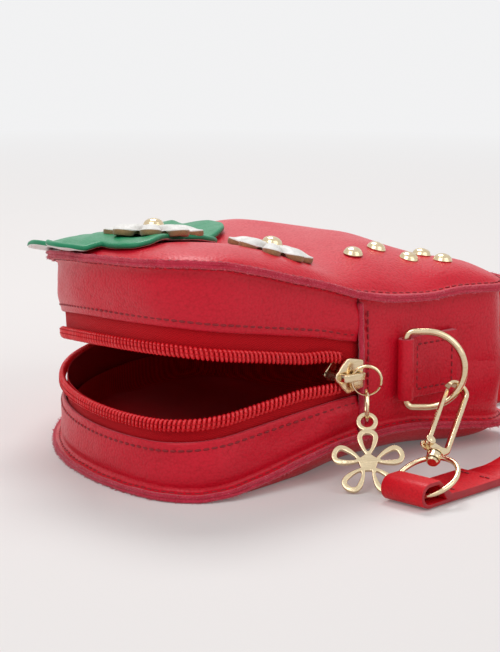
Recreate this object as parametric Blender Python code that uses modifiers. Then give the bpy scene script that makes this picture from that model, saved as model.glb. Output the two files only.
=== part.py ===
# Strawberry crossbody bag, lying on its back with the zip undone and the mouth lifted.
# Metres, +Z up. X runs from the strawberry's top to its tip, -Y is the near side.
# The walls are worked out for the closed bag, then the front is turned up about a fold line.
import math

import bmesh
import bpy
from mathutils import Matrix, Vector

# Outline in plan, from the top: a top arc, a shoulder arc, a straight side and a round tip,
# mirrored in Y; the origin lies HEAD inside the top
LENGTH = 0.1475
HEAD = 0.0075
SHOULDER_X = 0.048
SHOULDER_Y = 0.055
SHOULDER_RADIUS = 0.0235
TIP_RADIUS = 0.013

# Leather body
GUSSET = 0.045
GUSSET_AT_TOP = 0.050
ZIP_SHARE = 0.455
SWELL = 0.004
SWELL_X = 0.052
SWELL_REACH = 0.022
LEATHER = 0.0011
SEAM = 0.003
SEAM_BEND = 0.0012
BACK_DOME = 0.0115
FRONT_DOME = 0.008
CROWN_X = 0.056
PINCH = 0.004
PINCH_X = 0.108
PINCH_REACH = 0.014
RISE_START = 0.040
RISE_END = 0.096
TIP_DROOP = 0.0055
DROOP_START = 0.102
DROOP_END = 0.142
BULGE = 0.0008
LINING = 0.0004
GAP = 0.0003
SLIT = 0.0005
SHARP_DEGREES = 38.0
PANEL_SIDES = 60
PANEL_RING_SHARES = ((0.05, 0.30), (0.14, 0.58), (0.32, 0.84), (0.62, 0.97), (1.0, 1.0))
WALL_STEP = 0.0065

# Zip: tapes, coils, closed end of the chain and its stop
ZIP_END_X = 0.0920
BACK_EDGE = 0.0074
FRONT_EDGE = 0.0090
TAPE_HIDDEN = 0.006
TAPE = 0.0005
TAPE_EDGE = 0.0018
COIL_WIDTH = 0.0041
COIL_THICK = 0.0022
COIL_HEAD = 0.0002
COIL_PITCH = 0.0020
COIL_DIP = 0.0007
COIL_NOTCH = 0.0012
SPREAD = 0.0014
SPREAD_REACH = 0.016
STOP_LENGTH = 0.0018
STOP_PROUD = 0.0001
CHAIN_HALF = 0.0031

# Fold line of the lifted front
FOLD_DEGREES = 16.5
FOLD_BAND = 0.030
FOLD_FAR = 0.0350
WALL_LEAN = 4.0

# Slider, its bridge, ring, jump ring and charm
SLIDER_LENGTH = 0.0112
SLIDER_HALF = 0.0055
SLIDER_NECK_SHARE = 0.8
SLIDER_NOSE_SHARE = 0.78
SLIDER_SETBACK = 0.0062
SLIDER_PLATE = 0.0012
SLIDER_FLANGE = 0.0009
SLIDER_PLAY = 0.0004
DIVIDER_LENGTH = 0.003
DIVIDER_HALF = 0.0010
BRIDGE_LENGTH = 0.0086
BRIDGE_WIDTH = 0.0024
BRIDGE_BAR = 0.0009
BRIDGE_RISE = 0.0024
PULL_RADIUS = 0.0045
PULL_WIRE = 0.00055
PULL_DROP = 0.0012
JUMP_RADIUS = 0.0046
JUMP_WIRE = 0.00055
JUMP_TILT = 24.0
CHARM_TILT = 43.0
CHARM_THICK = 0.0012
CHARM_BAND = 0.0015
EYELET_OUTER = 0.0033
EYELET_HOLE = 0.0019
PETAL_LENGTH = 0.0092
PETAL_HALF = 0.0038
PETAL_START = 0.0022
CHARM_PETALS = 5
PETAL_POINTS = 12
PETAL_ROOT_POINTS = 2
PETAL_FULL_SHARE = 0.62

# D ring tabs
TAB_X = 0.1045
TAB_LENGTH = 0.022
TAB_WIDTH = 0.0195
D_WIRE = 0.0011
D_HALF = 0.0120
D_REACH = 0.0182
D_SWING = 40.0
TAB_PLAY = 0.0003

# Snap hooks with swivel eyes; each hook hangs on the D ring at an angle below its middle
HOOK_ON_RING = 36.0
HOOK_LEAN = 62.0
HOOK_TURN = 36.0
HOOK_PLAY = 0.0012
HOOK_INNER = 0.0025
HOOK_BAR = 0.0016
HOOK_THICK = 0.0026
HOOK_SHANK = 0.0285
HOOK_BASE = 0.0040
GATE_TIP = 0.0022
GATE_BORE = 0.0009
GATE_PIN = 0.0006
EAR = 0.0006
POST_RADIUS = 0.0010
RIVET_RADIUS = 0.0019
RIVET_HEIGHT = 0.0011
EYE_RADIUS = 0.0095
EYE_WIRE = 0.0008
BOSS_RADIUS = 0.0023
BOSS_HEIGHT = 0.0024
POST_PLAY = 0.0003

# Strap
STRAP_WIDTH = 0.016
STRAP = 0.0012
STRAP_FOLD = 0.034
STRAP_LOOP = 0.0026
STRAP_LOOP_LONG = 0.0045
STRAP_TURN = 46.0
STRAP_STATIONS = 96

# Leaf, daisies and studs
LEAF = 0.0018
DAISY = 0.0017
LEAF_DAISY_RADIUS = 0.0155
PANEL_DAISY_RADIUS = 0.0135
DAISY_PETALS = 8
STUD_RADIUS = 0.0032
SEED_RADIUS = 0.003
STUD_HEIGHT_SHARE = 0.72
LEAF_X = 0.018
LEAF_REACH = 0.062
LEAF_VALLEY = 0.036
LEAF_LOBES = 7
LEAF_TURN = math.pi / 2
LEAF_LONG_SHARE = 0.52
LEAF_POINT_SHARE = 1.6
LEAF_LIFT = 0.0014
LEAF_RINGS = 6
LEAF_FLAT_SHARE = 0.3
LEAF_RIM_SHARE = 0.05
LEAF_DAISY_X = 0.028
LEAF_DAISY_Y = -0.033
PANEL_DAISY_X = 0.064
PANEL_DAISY_Y = -0.036
DAISY_VALLEY_SHARE = 0.55
DAISY_ROUND_SHARE = 0.5
SEED_PLACES = (
    (0.0888, -0.0203), (0.0969, -0.0053), (0.1072, -0.0075), (0.1122, 0.0040), (0.1185, -0.0030),
)

Z_AXIS = Vector((0, 0, 1))

TIP_X = LENGTH - TIP_RADIUS
TOP_RADIUS = (SHOULDER_X ** 2 + SHOULDER_Y ** 2 - SHOULDER_RADIUS ** 2) / 2 / (SHOULDER_X - SHOULDER_RADIUS)
TOP_SPAN = math.atan2(SHOULDER_Y, TOP_RADIUS - SHOULDER_X)
CENTRES_APART = math.hypot(TIP_X - SHOULDER_X, SHOULDER_Y)
RADII_APART = SHOULDER_RADIUS - TIP_RADIUS
SIDE_SLOPE = math.atan2(SHOULDER_Y, TIP_X - SHOULDER_X) + math.asin(RADII_APART / CENTRES_APART)
SIDE_TURN = math.pi / 2 + SIDE_SLOPE
TOP_RUN = TOP_RADIUS * TOP_SPAN
SHOULDER_RUN = SHOULDER_RADIUS * (SIDE_TURN - TOP_SPAN)
SIDE_RUN = math.sqrt(CENTRES_APART ** 2 - RADII_APART ** 2)
SIDE_START = TOP_RUN + SHOULDER_RUN
TIP_START = SIDE_START + SIDE_RUN
HALF_RUN = TIP_START + TIP_RADIUS * (math.pi - SIDE_TURN)
CHAIN_OUT = -(SEAM + LEATHER + GAP) + GAP + COIL_THICK / 2


def smooth(share):
    share = min(max(share, 0), 1)
    return share * share * (3 - 2 * share)


def rim(along):
    """Point and outward normal at a length along the outline from the top; near side positive."""
    side = -1 if along >= 0 else 1
    run = abs(along)
    if run < TOP_RUN:
        turn, centre, radius, past = run / TOP_RADIUS, (TOP_RADIUS, 0), TOP_RADIUS, 0
    elif run < SIDE_START:
        turn = TOP_SPAN + (run - TOP_RUN) / SHOULDER_RADIUS
        centre, radius, past = (SHOULDER_X, SHOULDER_Y), SHOULDER_RADIUS, 0
    elif run < TIP_START:
        turn, centre, radius, past = SIDE_TURN, (SHOULDER_X, SHOULDER_Y), SHOULDER_RADIUS, run - SIDE_START
    else:
        turn = SIDE_TURN + (run - TIP_START) / TIP_RADIUS
        centre, radius, past = (TIP_X, 0), TIP_RADIUS, 0
    nx, ny = -math.cos(turn), math.sin(turn)
    x = centre[0] + radius * nx + past * ny
    y = centre[1] + radius * ny - past * nx
    return x - HEAD, side * y, nx, side * ny


def side_at(x):
    """Length along the outline at which the straight side reaches x."""
    start_x = SHOULDER_X + SHOULDER_RADIUS * math.sin(SIDE_SLOPE)
    return SIDE_START + (x + HEAD - start_x) / math.cos(SIDE_SLOPE)


def back_seam(x):
    """Height of the back seam: on the floor at the top, raised towards the tip, which droops."""
    rise = smooth((x - RISE_START) / (RISE_END - RISE_START))
    droop = smooth((x - DROOP_START) / (DROOP_END - DROOP_START))
    return LEATHER + (BACK_DOME - LEATHER) * rise - TIP_DROOP * droop


def gusset_height(x):
    """Distance between the seams: swollen at the widest part, pinched in at the D rings."""
    tapered = GUSSET_AT_TOP + (GUSSET - GUSSET_AT_TOP) * smooth((x - RISE_START) / (RISE_END - RISE_START))
    swollen = SWELL * math.exp(-((x - SWELL_X) / SWELL_REACH) ** 2)
    pinched = PINCH * math.exp(-((x - PINCH_X) / PINCH_REACH) ** 2)
    return tapered + swollen - pinched


def wall(along, out, share, rise=0):
    """A point of the closed bag: out from the outline, share of the gusset's height, plus a rise."""
    x, y, nx, ny = rim(along)
    x, y = x + nx * out, y + ny * out
    return Vector((x, y, back_seam(x) + share * gusset_height(x) + rise))


ZIP_END = side_at(ZIP_END_X)
FOLD_START = wall(ZIP_END, CHAIN_OUT, ZIP_SHARE)
FOLD_FINISH = wall(-FOLD_FAR, CHAIN_OUT, ZIP_SHARE)
FOLD_AXIS = (FOLD_FINISH - FOLD_START).normalized()
FOLD_SIDE = Z_AXIS.cross(FOLD_AXIS).normalized()
FOLD_UP = FOLD_AXIS.cross(FOLD_SIDE).normalized()
FOLD_CUT = Matrix.Rotation(-math.radians(WALL_LEAN) / 2, 3, FOLD_AXIS) @ FOLD_SIDE


def fold(point):
    """Lifts a point of the closed front about the fold line, smoothly; walls stay upright."""
    away = point - FOLD_START
    share = smooth(away.dot(FOLD_SIDE) / FOLD_BAND + 1 / 2)
    level = away - FOLD_UP * away.dot(FOLD_UP)
    turn = Matrix.Rotation(math.radians(FOLD_DEGREES) * share, 3, FOLD_AXIS)
    lean = Matrix.Rotation(math.radians(-WALL_LEAN) * share, 3, FOLD_AXIS)
    return FOLD_START + turn @ level + lean @ FOLD_UP * away.dot(FOLD_UP)


def still(point):
    return point


def new_collection(name):
    made = bpy.data.collections.new(name)
    bpy.context.scene.collection.children.link(made)
    return made


def material(name, colour, roughness, metallic=0.0):
    made = bpy.data.materials.new(name)
    made.use_nodes = True
    shader = made.node_tree.nodes["Principled BSDF"]
    shader.inputs["Base Color"].default_value = (*colour, 1)
    shader.inputs["Roughness"].default_value = roughness
    shader.inputs["Metallic"].default_value = metallic
    return made


def add(name, mesh_data, finish, parent=None, matrix=None):
    made = bpy.data.objects.new(name, mesh_data)
    BAG.objects.link(made)
    made.data.materials.append(finish)
    if parent:
        made.parent = parent
    if matrix:
        made.matrix_local = matrix
    return made


def from_bmesh(name, bm, finish, parent=None, matrix=None, flat=False):
    data = bpy.data.meshes.new(name)
    bmesh.ops.recalc_face_normals(bm, faces=bm.faces)
    bm.to_mesh(data)
    bm.free()
    if not flat:
        data.shade_smooth()
        data.set_sharp_from_angle(angle=math.radians(SHARP_DEGREES))
    return add(name, data, finish, parent, matrix)


def sheet(bm, rows_at, stations, rows):
    """A grid primitive laid over the wall, one column for each station and one row for each row."""
    grid = bmesh.ops.create_grid(bm, x_segments=len(stations) - 1, y_segments=len(rows) - 1, size=1)["verts"]
    across = sorted({round(v.co.x, 4) for v in grid})
    upward = sorted({round(v.co.y, 4) for v in grid})
    for v in grid:
        station = stations[across.index(round(v.co.x, 4))]
        v.co = rows_at(station, rows[upward.index(round(v.co.y, 4))])


def keep_side(bm, lid):
    """Cuts an open sheet along the fold plane and keeps the lifted side or the fixed side."""
    normal = FOLD_CUT if lid else -FOLD_CUT
    bmesh.ops.bisect_plane(
        bm, geom=bm.verts[:] + bm.edges[:] + bm.faces[:], plane_co=FOLD_START + normal * SLIT,
        plane_no=normal, clear_inner=True, dist=GAP / 100,
    )


def outward(bm, inside):
    """Faces of an open sheet point away from a point inside the bag."""
    bmesh.ops.recalc_face_normals(bm, faces=bm.faces)
    total = sum((f.normal.dot(f.calc_center_median() - inside) * f.calc_area() for f in bm.faces))
    if total < 0:
        bmesh.ops.reverse_faces(bm, faces=bm.faces[:])


def skin(name, bm, thickness, finish, inside):
    outward(bm, inside)
    data = bpy.data.meshes.new(name)
    bm.to_mesh(data)
    bm.free()
    data.shade_smooth()
    data.set_sharp_from_angle(angle=math.radians(SHARP_DEGREES))
    made = add(name, data, finish)
    shell = made.modifiers.new("leather", "SOLIDIFY")
    shell.thickness = thickness
    shell.offset = -1
    shell.use_even_offset = True
    shell.use_rim = True
    return made


def spaced(start, end, step=WALL_STEP):
    count = max(2, round(abs(end - start) / step))
    marks = [start + (end - start) * i / count for i in range(count + 1)]
    corners = [m for m in (TIP_START, -TIP_START) if min(start, end) < m < max(start, end)]
    for corner in corners:
        nearest = min(range(1, count), key=lambda i: abs(marks[i] - corner))
        marks[nearest] = corner
    return marks


MIDDLE = Vector((CROWN_X, 0, GUSSET / 2 + BACK_DOME / 2))


def gusset_rows(low, high):
    """Outer face of a gusset from one edge to the other; each row is (out, share, rise)."""
    rows, flange = [], GAP + LEATHER
    if low == "seam":
        rows += [(0, 0, flange), (SEAM_BEND - SEAM, 0, flange), (-SEAM, 0, flange + SEAM_BEND)]
        rows += [(BULGE - SEAM, 1 / 6, 0)]
    if low == "zip":
        rows += [(-SEAM, ZIP_SHARE, FRONT_EDGE)]
    if high == "zip":
        rows += [(BULGE - SEAM, 1 / 5, 0), (-SEAM, ZIP_SHARE, -BACK_EDGE)]
    if high == "seam":
        rows += [(BULGE - SEAM, 1 / 2 if low == "seam" else 3 / 4, 0), (BULGE - SEAM, 5 / 6, 0)]
        rows += [(-SEAM, 1, -flange - SEAM_BEND), (SEAM_BEND - SEAM, 1, -flange), (0, 1, -flange)]
    return rows


def gusset(name, start, end, low, high, shape=still, lid=None):
    bm = bmesh.new()
    sheet(bm, lambda s, row: shape(wall(s, *row)), spaced(start, end), gusset_rows(low, high))
    if lid is not None:
        keep_side(bm, lid)
    return skin(name, bm, LEATHER, LEATHER_RED, MIDDLE)


def build_gussets():
    near, far = ZIP_END - GAP, -ZIP_END + GAP
    gusset("back_zip_strip", far, near, "seam", "zip")
    gusset("front_zip_strip", far, near, "zip", "seam", fold, True)
    gusset("front_zip_strip_far", far, near, "zip", "seam", fold, False)
    bm = bmesh.new()
    stations = [s + HALF_RUN for s in spaced(ZIP_END - HALF_RUN, HALF_RUN - ZIP_END)]
    sheet(bm, lambda s, row: fold(wall(wrapped(s), *row)) if row[1] > 1 / 2 else wall(wrapped(s), *row),
          stations, gusset_rows("seam", "seam"))
    skin("tip_gusset", bm, LEATHER, LEATHER_RED, MIDDLE)


def wrapped(along):
    """Lengths past the tip run back along the far side."""
    return along - 2 * HALF_RUN if along > HALF_RUN else along


def dome(bm, rings):
    """A half sphere primitive reshaped: its equator is the first ring, its pole the crown."""
    count = len(rings) - 1
    bmesh.ops.create_uvsphere(bm, u_segments=PANEL_SIDES, v_segments=2 * count, radius=1)
    bmesh.ops.delete(bm, geom=[v for v in bm.verts if v.co.z < -GAP], context="VERTS")
    for v in bm.verts:
        level = round(math.asin(min(max(v.co.z, 0), 1)) / (math.pi / 2) * count)
        turn = math.atan2(v.co.y, v.co.x) / math.pi
        v.co = rings[level](-turn * HALF_RUN)


def crowned(along, inset, share):
    """A point of a panel between the foot of its seam and the crown, in plan."""
    x, y, nx, ny = rim(along)
    x, y = x - nx * inset, y - ny * inset
    return x + (CROWN_X - x) * share, y * (1 - share)


def front_point(along, inset, share, height_share, drop=0):
    x, y = crowned(along, inset, share)
    return fold(Vector((x, y, back_seam(x) + gusset_height(x) + LEATHER - drop + FRONT_DOME * height_share)))


def back_point(along, inset, share, height_share, lift=0):
    x, y = crowned(along, inset, share)
    return Vector((x, y, max(back_seam(x) - LEATHER - BACK_DOME * height_share, 0) + lift))


def panel_rings(point):
    rings = [lambda s: point(s, 0, 0, 0), lambda s: point(s, SEAM, 0, 0)]
    for share, height in PANEL_RING_SHARES:
        rings.append(lambda s, share=share, height=height: point(s, SEAM, share, height))
    return rings


def build_panels():
    bm = bmesh.new()
    dome(bm, panel_rings(back_point))
    skin("back_panel", bm, LEATHER, LEATHER_RED, MIDDLE)
    for name, lid in (("front_panel", True), ("front_panel_tip", False)):
        bm = bmesh.new()
        dome(bm, panel_rings(front_point))
        keep_side(bm, lid)
        skin(name, bm, LEATHER, LEATHER_RED, MIDDLE)


def build_lining():
    """A cup of thin cloth in the back half, and a sheet under the front panel."""
    inset = SEAM + LEATHER + GAP + TAPE + GAP
    lift = LEATHER + GAP + LINING
    bm = bmesh.new()
    rings = [
        lambda s: wall(s, -inset - BULGE, ZIP_SHARE, -BACK_EDGE - TAPE_HIDDEN),
        lambda s: wall(s, -inset - BULGE, 0, LEATHER + LEATHER + SEAM_BEND + LINING),
    ]
    for share, height in PANEL_RING_SHARES:
        rings.append(lambda s, share=share, height=height: back_point(s, inset, share, height, lift))
    dome(bm, rings)
    skin("back_lining", bm, LINING, LINING_RED, MIDDLE)
    bm = bmesh.new()
    rings = [lambda s: front_point(s, inset, 0, 0, lift + LEATHER + LEATHER)]
    for share, height in PANEL_RING_SHARES:
        rings.append(lambda s, share=share, height=height:
                     front_point(s, inset, share, height, lift + LEATHER))
    dome(bm, rings)
    keep_side(bm, True)
    skin("front_lining", bm, LINING, LINING_RED, MIDDLE)


def spread(along):
    """How far the chain halves stand apart before the slider's divider."""
    gap = abs(ZIP_END - SLIDER_SETBACK - SLIDER_LENGTH / 4 - along)
    return SPREAD * smooth(1 - gap / SPREAD_REACH)


def zip_half(side, start, end, shape, tape_name, coil_name, ends_in_slider):
    """One stretch of tape with its coil. side is +1 for the front half and -1 for the back half."""
    out = -(SEAM + LEATHER + GAP)
    edge = FRONT_EDGE if side > 0 else BACK_EDGE
    rows = [(out, ZIP_SHARE, side * reach) for reach in (TAPE_EDGE, edge - GAP, edge + TAPE_HIDDEN)]
    bm = bmesh.new()

    def tape_point(along, row):
        nudge = side * spread(along) if row is rows[0] else 0
        return shape(wall(along, row[0], row[1], row[2] + nudge))

    sheet(bm, tape_point, spaced(start, end), rows)
    skin(tape_name, bm, TAPE, TAPE_RED, MIDDLE)

    last = ZIP_END - SLIDER_SETBACK - DIVIDER_LENGTH / 3 if ends_in_slider else end
    count = max(2, round((last - start) / COIL_PITCH * 2))
    inner, outer = out + GAP, out + GAP + COIL_THICK
    sections = []
    for i in range(count + 1):
        along = start + (last - start) * i / count
        low, high = COIL_HEAD + spread(along), COIL_HEAD + COIL_WIDTH + spread(along)
        face = outer
        if i % 2:
            low, face = low + COIL_NOTCH, outer - COIL_DIP
        corners = ((inner, low), (face, low), (face, high), (inner, high))
        sections.append([shape(wall(along, o, ZIP_SHARE, side * h)) for o, h in corners])
    bm = bmesh.new()
    loft(bm, sections)
    from_bmesh(coil_name, bm, COIL_RED, flat=True)


def loft(bm, sections):
    """Joins unlike sections of the same count into one closed solid."""
    rings = [[bm.verts.new(p) for p in section] for section in sections]
    for a, b in zip(rings, rings[1:]):
        for i in range(len(a)):
            j = (i + 1) % len(a)
            bm.faces.new((a[i], a[j], b[j], b[i]))
    bm.faces.new(rings[0])
    bm.faces.new(rings[-1])


def chain_section(along, thick, half):
    """Corners of a block on the inner side of the wall, centred on the zip."""
    out = GAP - (SEAM + LEATHER + GAP)
    corners = ((out, -half), (out + thick, -half), (out + thick, half), (out, half))
    return [wall(along, o, ZIP_SHARE, h) for o, h in corners]


def build_zip():
    near, far = ZIP_END - GAP, -ZIP_END + GAP
    zip_half(-1, far, near, still, "back_tape", "back_coil", True)
    zip_half(1, -FOLD_FAR + SLIT, near, fold, "front_tape", "front_coil", True)
    zip_half(1, far, -FOLD_FAR - SLIT, fold, "front_tape_far", "front_coil_far", False)
    closed_start = ZIP_END - SLIDER_SETBACK - DIVIDER_LENGTH / 3 + GAP
    closed_end = ZIP_END - STOP_LENGTH - 2 * GAP
    count = round((closed_end - closed_start) / COIL_PITCH * 2)
    sections = []
    for i in range(count + 1):
        along = closed_start + (closed_end - closed_start) * i / count
        half = CHAIN_HALF - (COIL_NOTCH / 2 if i % 2 else 0)
        sections.append(chain_section(along, COIL_THICK - (COIL_DIP if i % 2 else 0), half))
    bm = bmesh.new()
    loft(bm, sections)
    from_bmesh("closed_chain", bm, COIL_RED, flat=True)
    sections = [chain_section(along, COIL_THICK + STOP_PROUD, COIL_WIDTH / 2)
                for along in (closed_end + GAP, closed_end + STOP_LENGTH)]
    bm = bmesh.new()
    loft(bm, sections)
    from_bmesh("bottom_stop", bm, GOLD, flat=True)


def frame_at(along, out, share=ZIP_SHARE, rise=0):
    """Axes on the wall: X along the chain towards the tip, Y into the bag, Z up."""
    x, y, nx, ny = rim(along)
    origin = wall(along, out, share, rise)
    side = 1 if along >= 0 else -1
    tangent = Vector((-ny, nx, 0)) * side
    inwards = Vector((-nx, -ny, 0))
    turn = Matrix((tangent, inwards, Z_AXIS)).transposed()
    return Matrix.Translation(origin) @ turn.to_4x4()


def empty(name, matrix, parent=None):
    made = bpy.data.objects.new(name, None)
    made.empty_display_size = SEAM
    BAG.objects.link(made)
    if parent:
        made.parent = parent
    made.matrix_local = matrix
    return made


def box(bm, low, high):
    size = Vector(high) - Vector(low)
    middle = (Vector(high) + Vector(low)) / 2
    place = Matrix.Translation(middle) @ Matrix.Diagonal((*size, 1))
    return bmesh.ops.create_cube(bm, size=1, matrix=place)["verts"]


def cylinder(bm, radius, depth, matrix, sides=16, top=None):
    return bmesh.ops.create_cone(
        bm, cap_ends=True, segments=sides, radius1=radius, radius2=radius if top is None else top,
        depth=depth, matrix=matrix)["verts"]


def outline_solid(name, outlines, half_thick):
    """A flat outline, with holes if more than one is given, made a welded mesh."""
    curve = bpy.data.curves.new(name, "CURVE")
    curve.dimensions = "2D"
    curve.fill_mode = "BOTH"
    curve.extrude = half_thick
    for points in outlines:
        spline = curve.splines.new("POLY")
        spline.points.add(len(points) - 1)
        for p, (x, y) in zip(spline.points, points):
            p.co = (x, y, 0, 1)
        spline.use_cyclic_u = True
    return welded(name, curve)


def welded(name, curve):
    """The mesh of a curve, with its caps welded to its sides."""
    holder = bpy.data.objects.new(name + "_curve", curve)
    bpy.context.scene.collection.objects.link(holder)
    ready = holder.evaluated_get(bpy.context.evaluated_depsgraph_get())
    data = bpy.data.meshes.new_from_object(ready)
    bm = bmesh.new()
    bm.from_mesh(data)
    bmesh.ops.remove_doubles(bm, verts=bm.verts, dist=GAP / 30)
    bpy.data.objects.remove(holder)
    bpy.data.curves.remove(curve)
    bpy.data.meshes.remove(data)
    return bm


def wire(name, points, radius, closed=False, sides=2):
    curve = bpy.data.curves.new(name, "CURVE")
    curve.dimensions = "3D"
    curve.bevel_depth = radius
    curve.bevel_resolution = sides
    curve.use_fill_caps = not closed
    spline = curve.splines.new("POLY")
    spline.points.add(len(points) - 1)
    for p, place in zip(spline.points, points):
        p.co = (*place, 1)
    spline.use_cyclic_u = closed
    return welded(name, curve)


def join_all(name, pieces, finish, parent, matrix, cut=()):
    """Union of welded meshes, less the cutters, as one body."""
    body = None
    for number, bm in enumerate(pieces):
        if body is None:
            body = from_bmesh(name, bm, finish, parent, matrix)
        else:
            extra = tool_object(f"{name}_with_{number}", bm, parent, matrix)
            boolean(body, extra, "UNION")
    for number, bm in enumerate(cut):
        cutter = tool_object(f"{name}_cut_{number}", bm, parent, matrix)
        boolean(body, cutter, "DIFFERENCE")
    return body


def tool_object(name, bm, parent, matrix):
    data = bpy.data.meshes.new(name)
    bmesh.ops.recalc_face_normals(bm, faces=bm.faces)
    bm.to_mesh(data)
    bm.free()
    made = bpy.data.objects.new(name, data)
    CUTTERS.objects.link(made)
    if parent:
        made.parent = parent
    made.matrix_local = matrix
    made.hide_render = True
    made.display_type = "WIRE"
    return made


def boolean(body, other, operation):
    step = body.modifiers.new(operation.lower(), "BOOLEAN")
    step.operation = operation
    step.solver = "EXACT"
    step.object = other


def torus_points(radius, count, start=0, span=2 * math.pi):
    return [(radius * math.cos(start + span * i / count), radius * math.sin(start + span * i / count))
            for i in range(count)]


def build_slider():
    centre = ZIP_END - SLIDER_SETBACK
    place = empty("slider_axis", frame_at(centre, CHAIN_OUT))
    half, deep = SLIDER_LENGTH / 2, COIL_THICK / 2 + SLIDER_PLAY
    back = COIL_THICK / 2 + GAP + TAPE + 2 * SLIDER_PLAY
    neck = SLIDER_HALF * SLIDER_NECK_SHARE
    nose = half * SLIDER_NOSE_SHARE
    shield = [(-half, 0), (-nose, -SLIDER_HALF / 3), (-half / 5, -SLIDER_HALF), (0, -SLIDER_HALF),
              (half, -neck), (half, neck), (0, SLIDER_HALF), (-half / 5, SLIDER_HALF),
              (-nose, SLIDER_HALF / 3)]
    plates = []
    for low in (-deep - SLIDER_PLATE, back):
        bm = outline_solid("plate", [shield], SLIDER_PLATE / 2)
        plates.append(upright(bm))
        bmesh.ops.translate(bm, vec=(0, low + SLIDER_PLATE / 2, 0), verts=bm.verts)
    parts = [plates[0]]
    bm = bmesh.new()
    box(bm, (-half + GAP, -deep - SLIDER_PLATE / 2, -DIVIDER_HALF),
        (-half + DIVIDER_LENGTH, back + SLIDER_PLATE / 2, DIVIDER_HALF))
    parts.append(bm)
    parts.append(plates[1])
    for side in (-1, 1):
        bm = bmesh.new()
        low, high = sorted((side * (neck - SLIDER_FLANGE), side * neck))
        box(bm, (half / 5, -deep - SLIDER_PLATE / 2, low), (half, COIL_THICK / 2 - GAP, high))
        parts.append(bm)
    face = -deep - SLIDER_PLATE
    reach = BRIDGE_LENGTH / 2
    arch = [(-reach, GAP), (-reach, -BRIDGE_RISE / 2), (-reach / 2, -BRIDGE_RISE - BRIDGE_BAR),
            (reach / 2, -BRIDGE_RISE - BRIDGE_BAR), (reach, -BRIDGE_RISE / 2), (reach, GAP),
            (reach - BRIDGE_BAR, GAP), (reach - BRIDGE_BAR, -BRIDGE_RISE / 2), (reach / 3, -BRIDGE_RISE),
            (-reach / 3, -BRIDGE_RISE), (BRIDGE_BAR - reach, -BRIDGE_RISE / 2), (BRIDGE_BAR - reach, GAP)]
    bm = outline_solid("bridge", [arch], BRIDGE_WIDTH / 2)
    bmesh.ops.translate(bm, vec=(0, face, 0), verts=bm.verts)
    parts.append(bm)
    join_all("slider", parts, GOLD, place, Matrix.Identity(4))
    return place, Vector((0, face - BRIDGE_RISE / 2, 0))


def build_pull(place, tunnel):
    """The pull ring passes under the bridge at its side; the jump ring and the charm hang from it."""
    chain_turn = -SIDE_SLOPE
    swing = empty("pull_ring_axis", Matrix.Translation(tunnel) @ Matrix.Rotation(chain_turn, 4, "Z"), place)
    centre = Vector((math.sqrt(PULL_RADIUS ** 2 - PULL_DROP ** 2), 0, -PULL_DROP))
    ring = [(centre.x + x, 0, centre.z + z) for x, z in torus_points(PULL_RADIUS, 20)]
    from_bmesh("pull_ring", wire("pull_ring", ring, PULL_WIRE, closed=True), GOLD, swing)
    hang = centre + Vector((0, 0, -PULL_RADIUS))
    tilt = Matrix.Rotation(-math.radians(JUMP_TILT), 4, "X")
    link = empty("jump_ring_axis", Matrix.Translation(hang) @ tilt, swing)
    seat = JUMP_RADIUS - JUMP_WIRE - PULL_WIRE - GAP
    ring = [(0, y, z - seat) for y, z in torus_points(JUMP_RADIUS, 18)]
    from_bmesh("jump_ring", wire("jump_ring", ring, JUMP_WIRE, closed=True), GOLD, link)
    foot = Vector((0, 0, -seat - JUMP_RADIUS))
    lean = math.radians(JUMP_TILT - CHARM_TILT)
    charm_axis = empty("charm_axis", Matrix.Translation(foot) @ Matrix.Rotation(lean, 4, "X"), link)
    build_charm(charm_axis)


def petal_point(turn_share, inset):
    """A point round a teardrop petal that points along X, and the same point drawn in by a band."""
    a = 2 * math.pi * turn_share
    along = PETAL_START + PETAL_LENGTH * (1 + math.cos(a)) / 2
    half = PETAL_HALF * math.sin(a) * (PETAL_FULL_SHARE + (1 - PETAL_FULL_SHARE) * math.cos(a))
    point = Vector((along, half))
    middle = Vector((PETAL_START + PETAL_LENGTH * PETAL_FULL_SHARE, 0))
    away = point - middle
    return middle + away * (1 - inset / away.length)


def build_charm(axis):
    """A flat open flower: five looped petals on a hub, under an eyelet, cut from one plate."""
    eyelet = Vector((0, JUMP_WIRE + 2 * GAP - EYELET_HOLE))
    hub = eyelet - Vector((0, EYELET_OUTER - CHARM_BAND / 2 + PETAL_START + PETAL_LENGTH))
    edge, holes = [], []
    for i in range(CHARM_PETALS):
        turn = Matrix.Rotation(math.pi / 2 + 2 * math.pi * i / CHARM_PETALS, 2)
        for k in range(-PETAL_POINTS + PETAL_ROOT_POINTS, PETAL_POINTS - PETAL_ROOT_POINTS + 1):
            if i == 0 and k == 0:
                opening = math.acos((EYELET_OUTER - CHARM_BAND / 2) / EYELET_OUTER)
                edge += [eyelet + EYELET_OUTER * Vector((math.sin(b), -math.cos(b))) for b in
                         [opening + 2 * (math.pi - opening) * n / 16 for n in range(17)]]
            elif i or abs(k) > 1:
                edge.append(turn @ petal_point(k / (2 * PETAL_POINTS), 0) + hub)
        holes.append([turn @ petal_point(k / PETAL_POINTS, CHARM_BAND) + hub for k in range(PETAL_POINTS)])
    holes.append([Vector(p) + eyelet for p in torus_points(EYELET_HOLE, 14)])
    bm = outline_solid("charm", [edge, *holes], CHARM_THICK / 2)
    bmesh.ops.rotate(bm, cent=(0, 0, 0), matrix=Matrix.Rotation(math.pi / 2, 3, "X"), verts=bm.verts)
    from_bmesh("charm", bm, GOLD, axis, Matrix.Identity(4))


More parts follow.
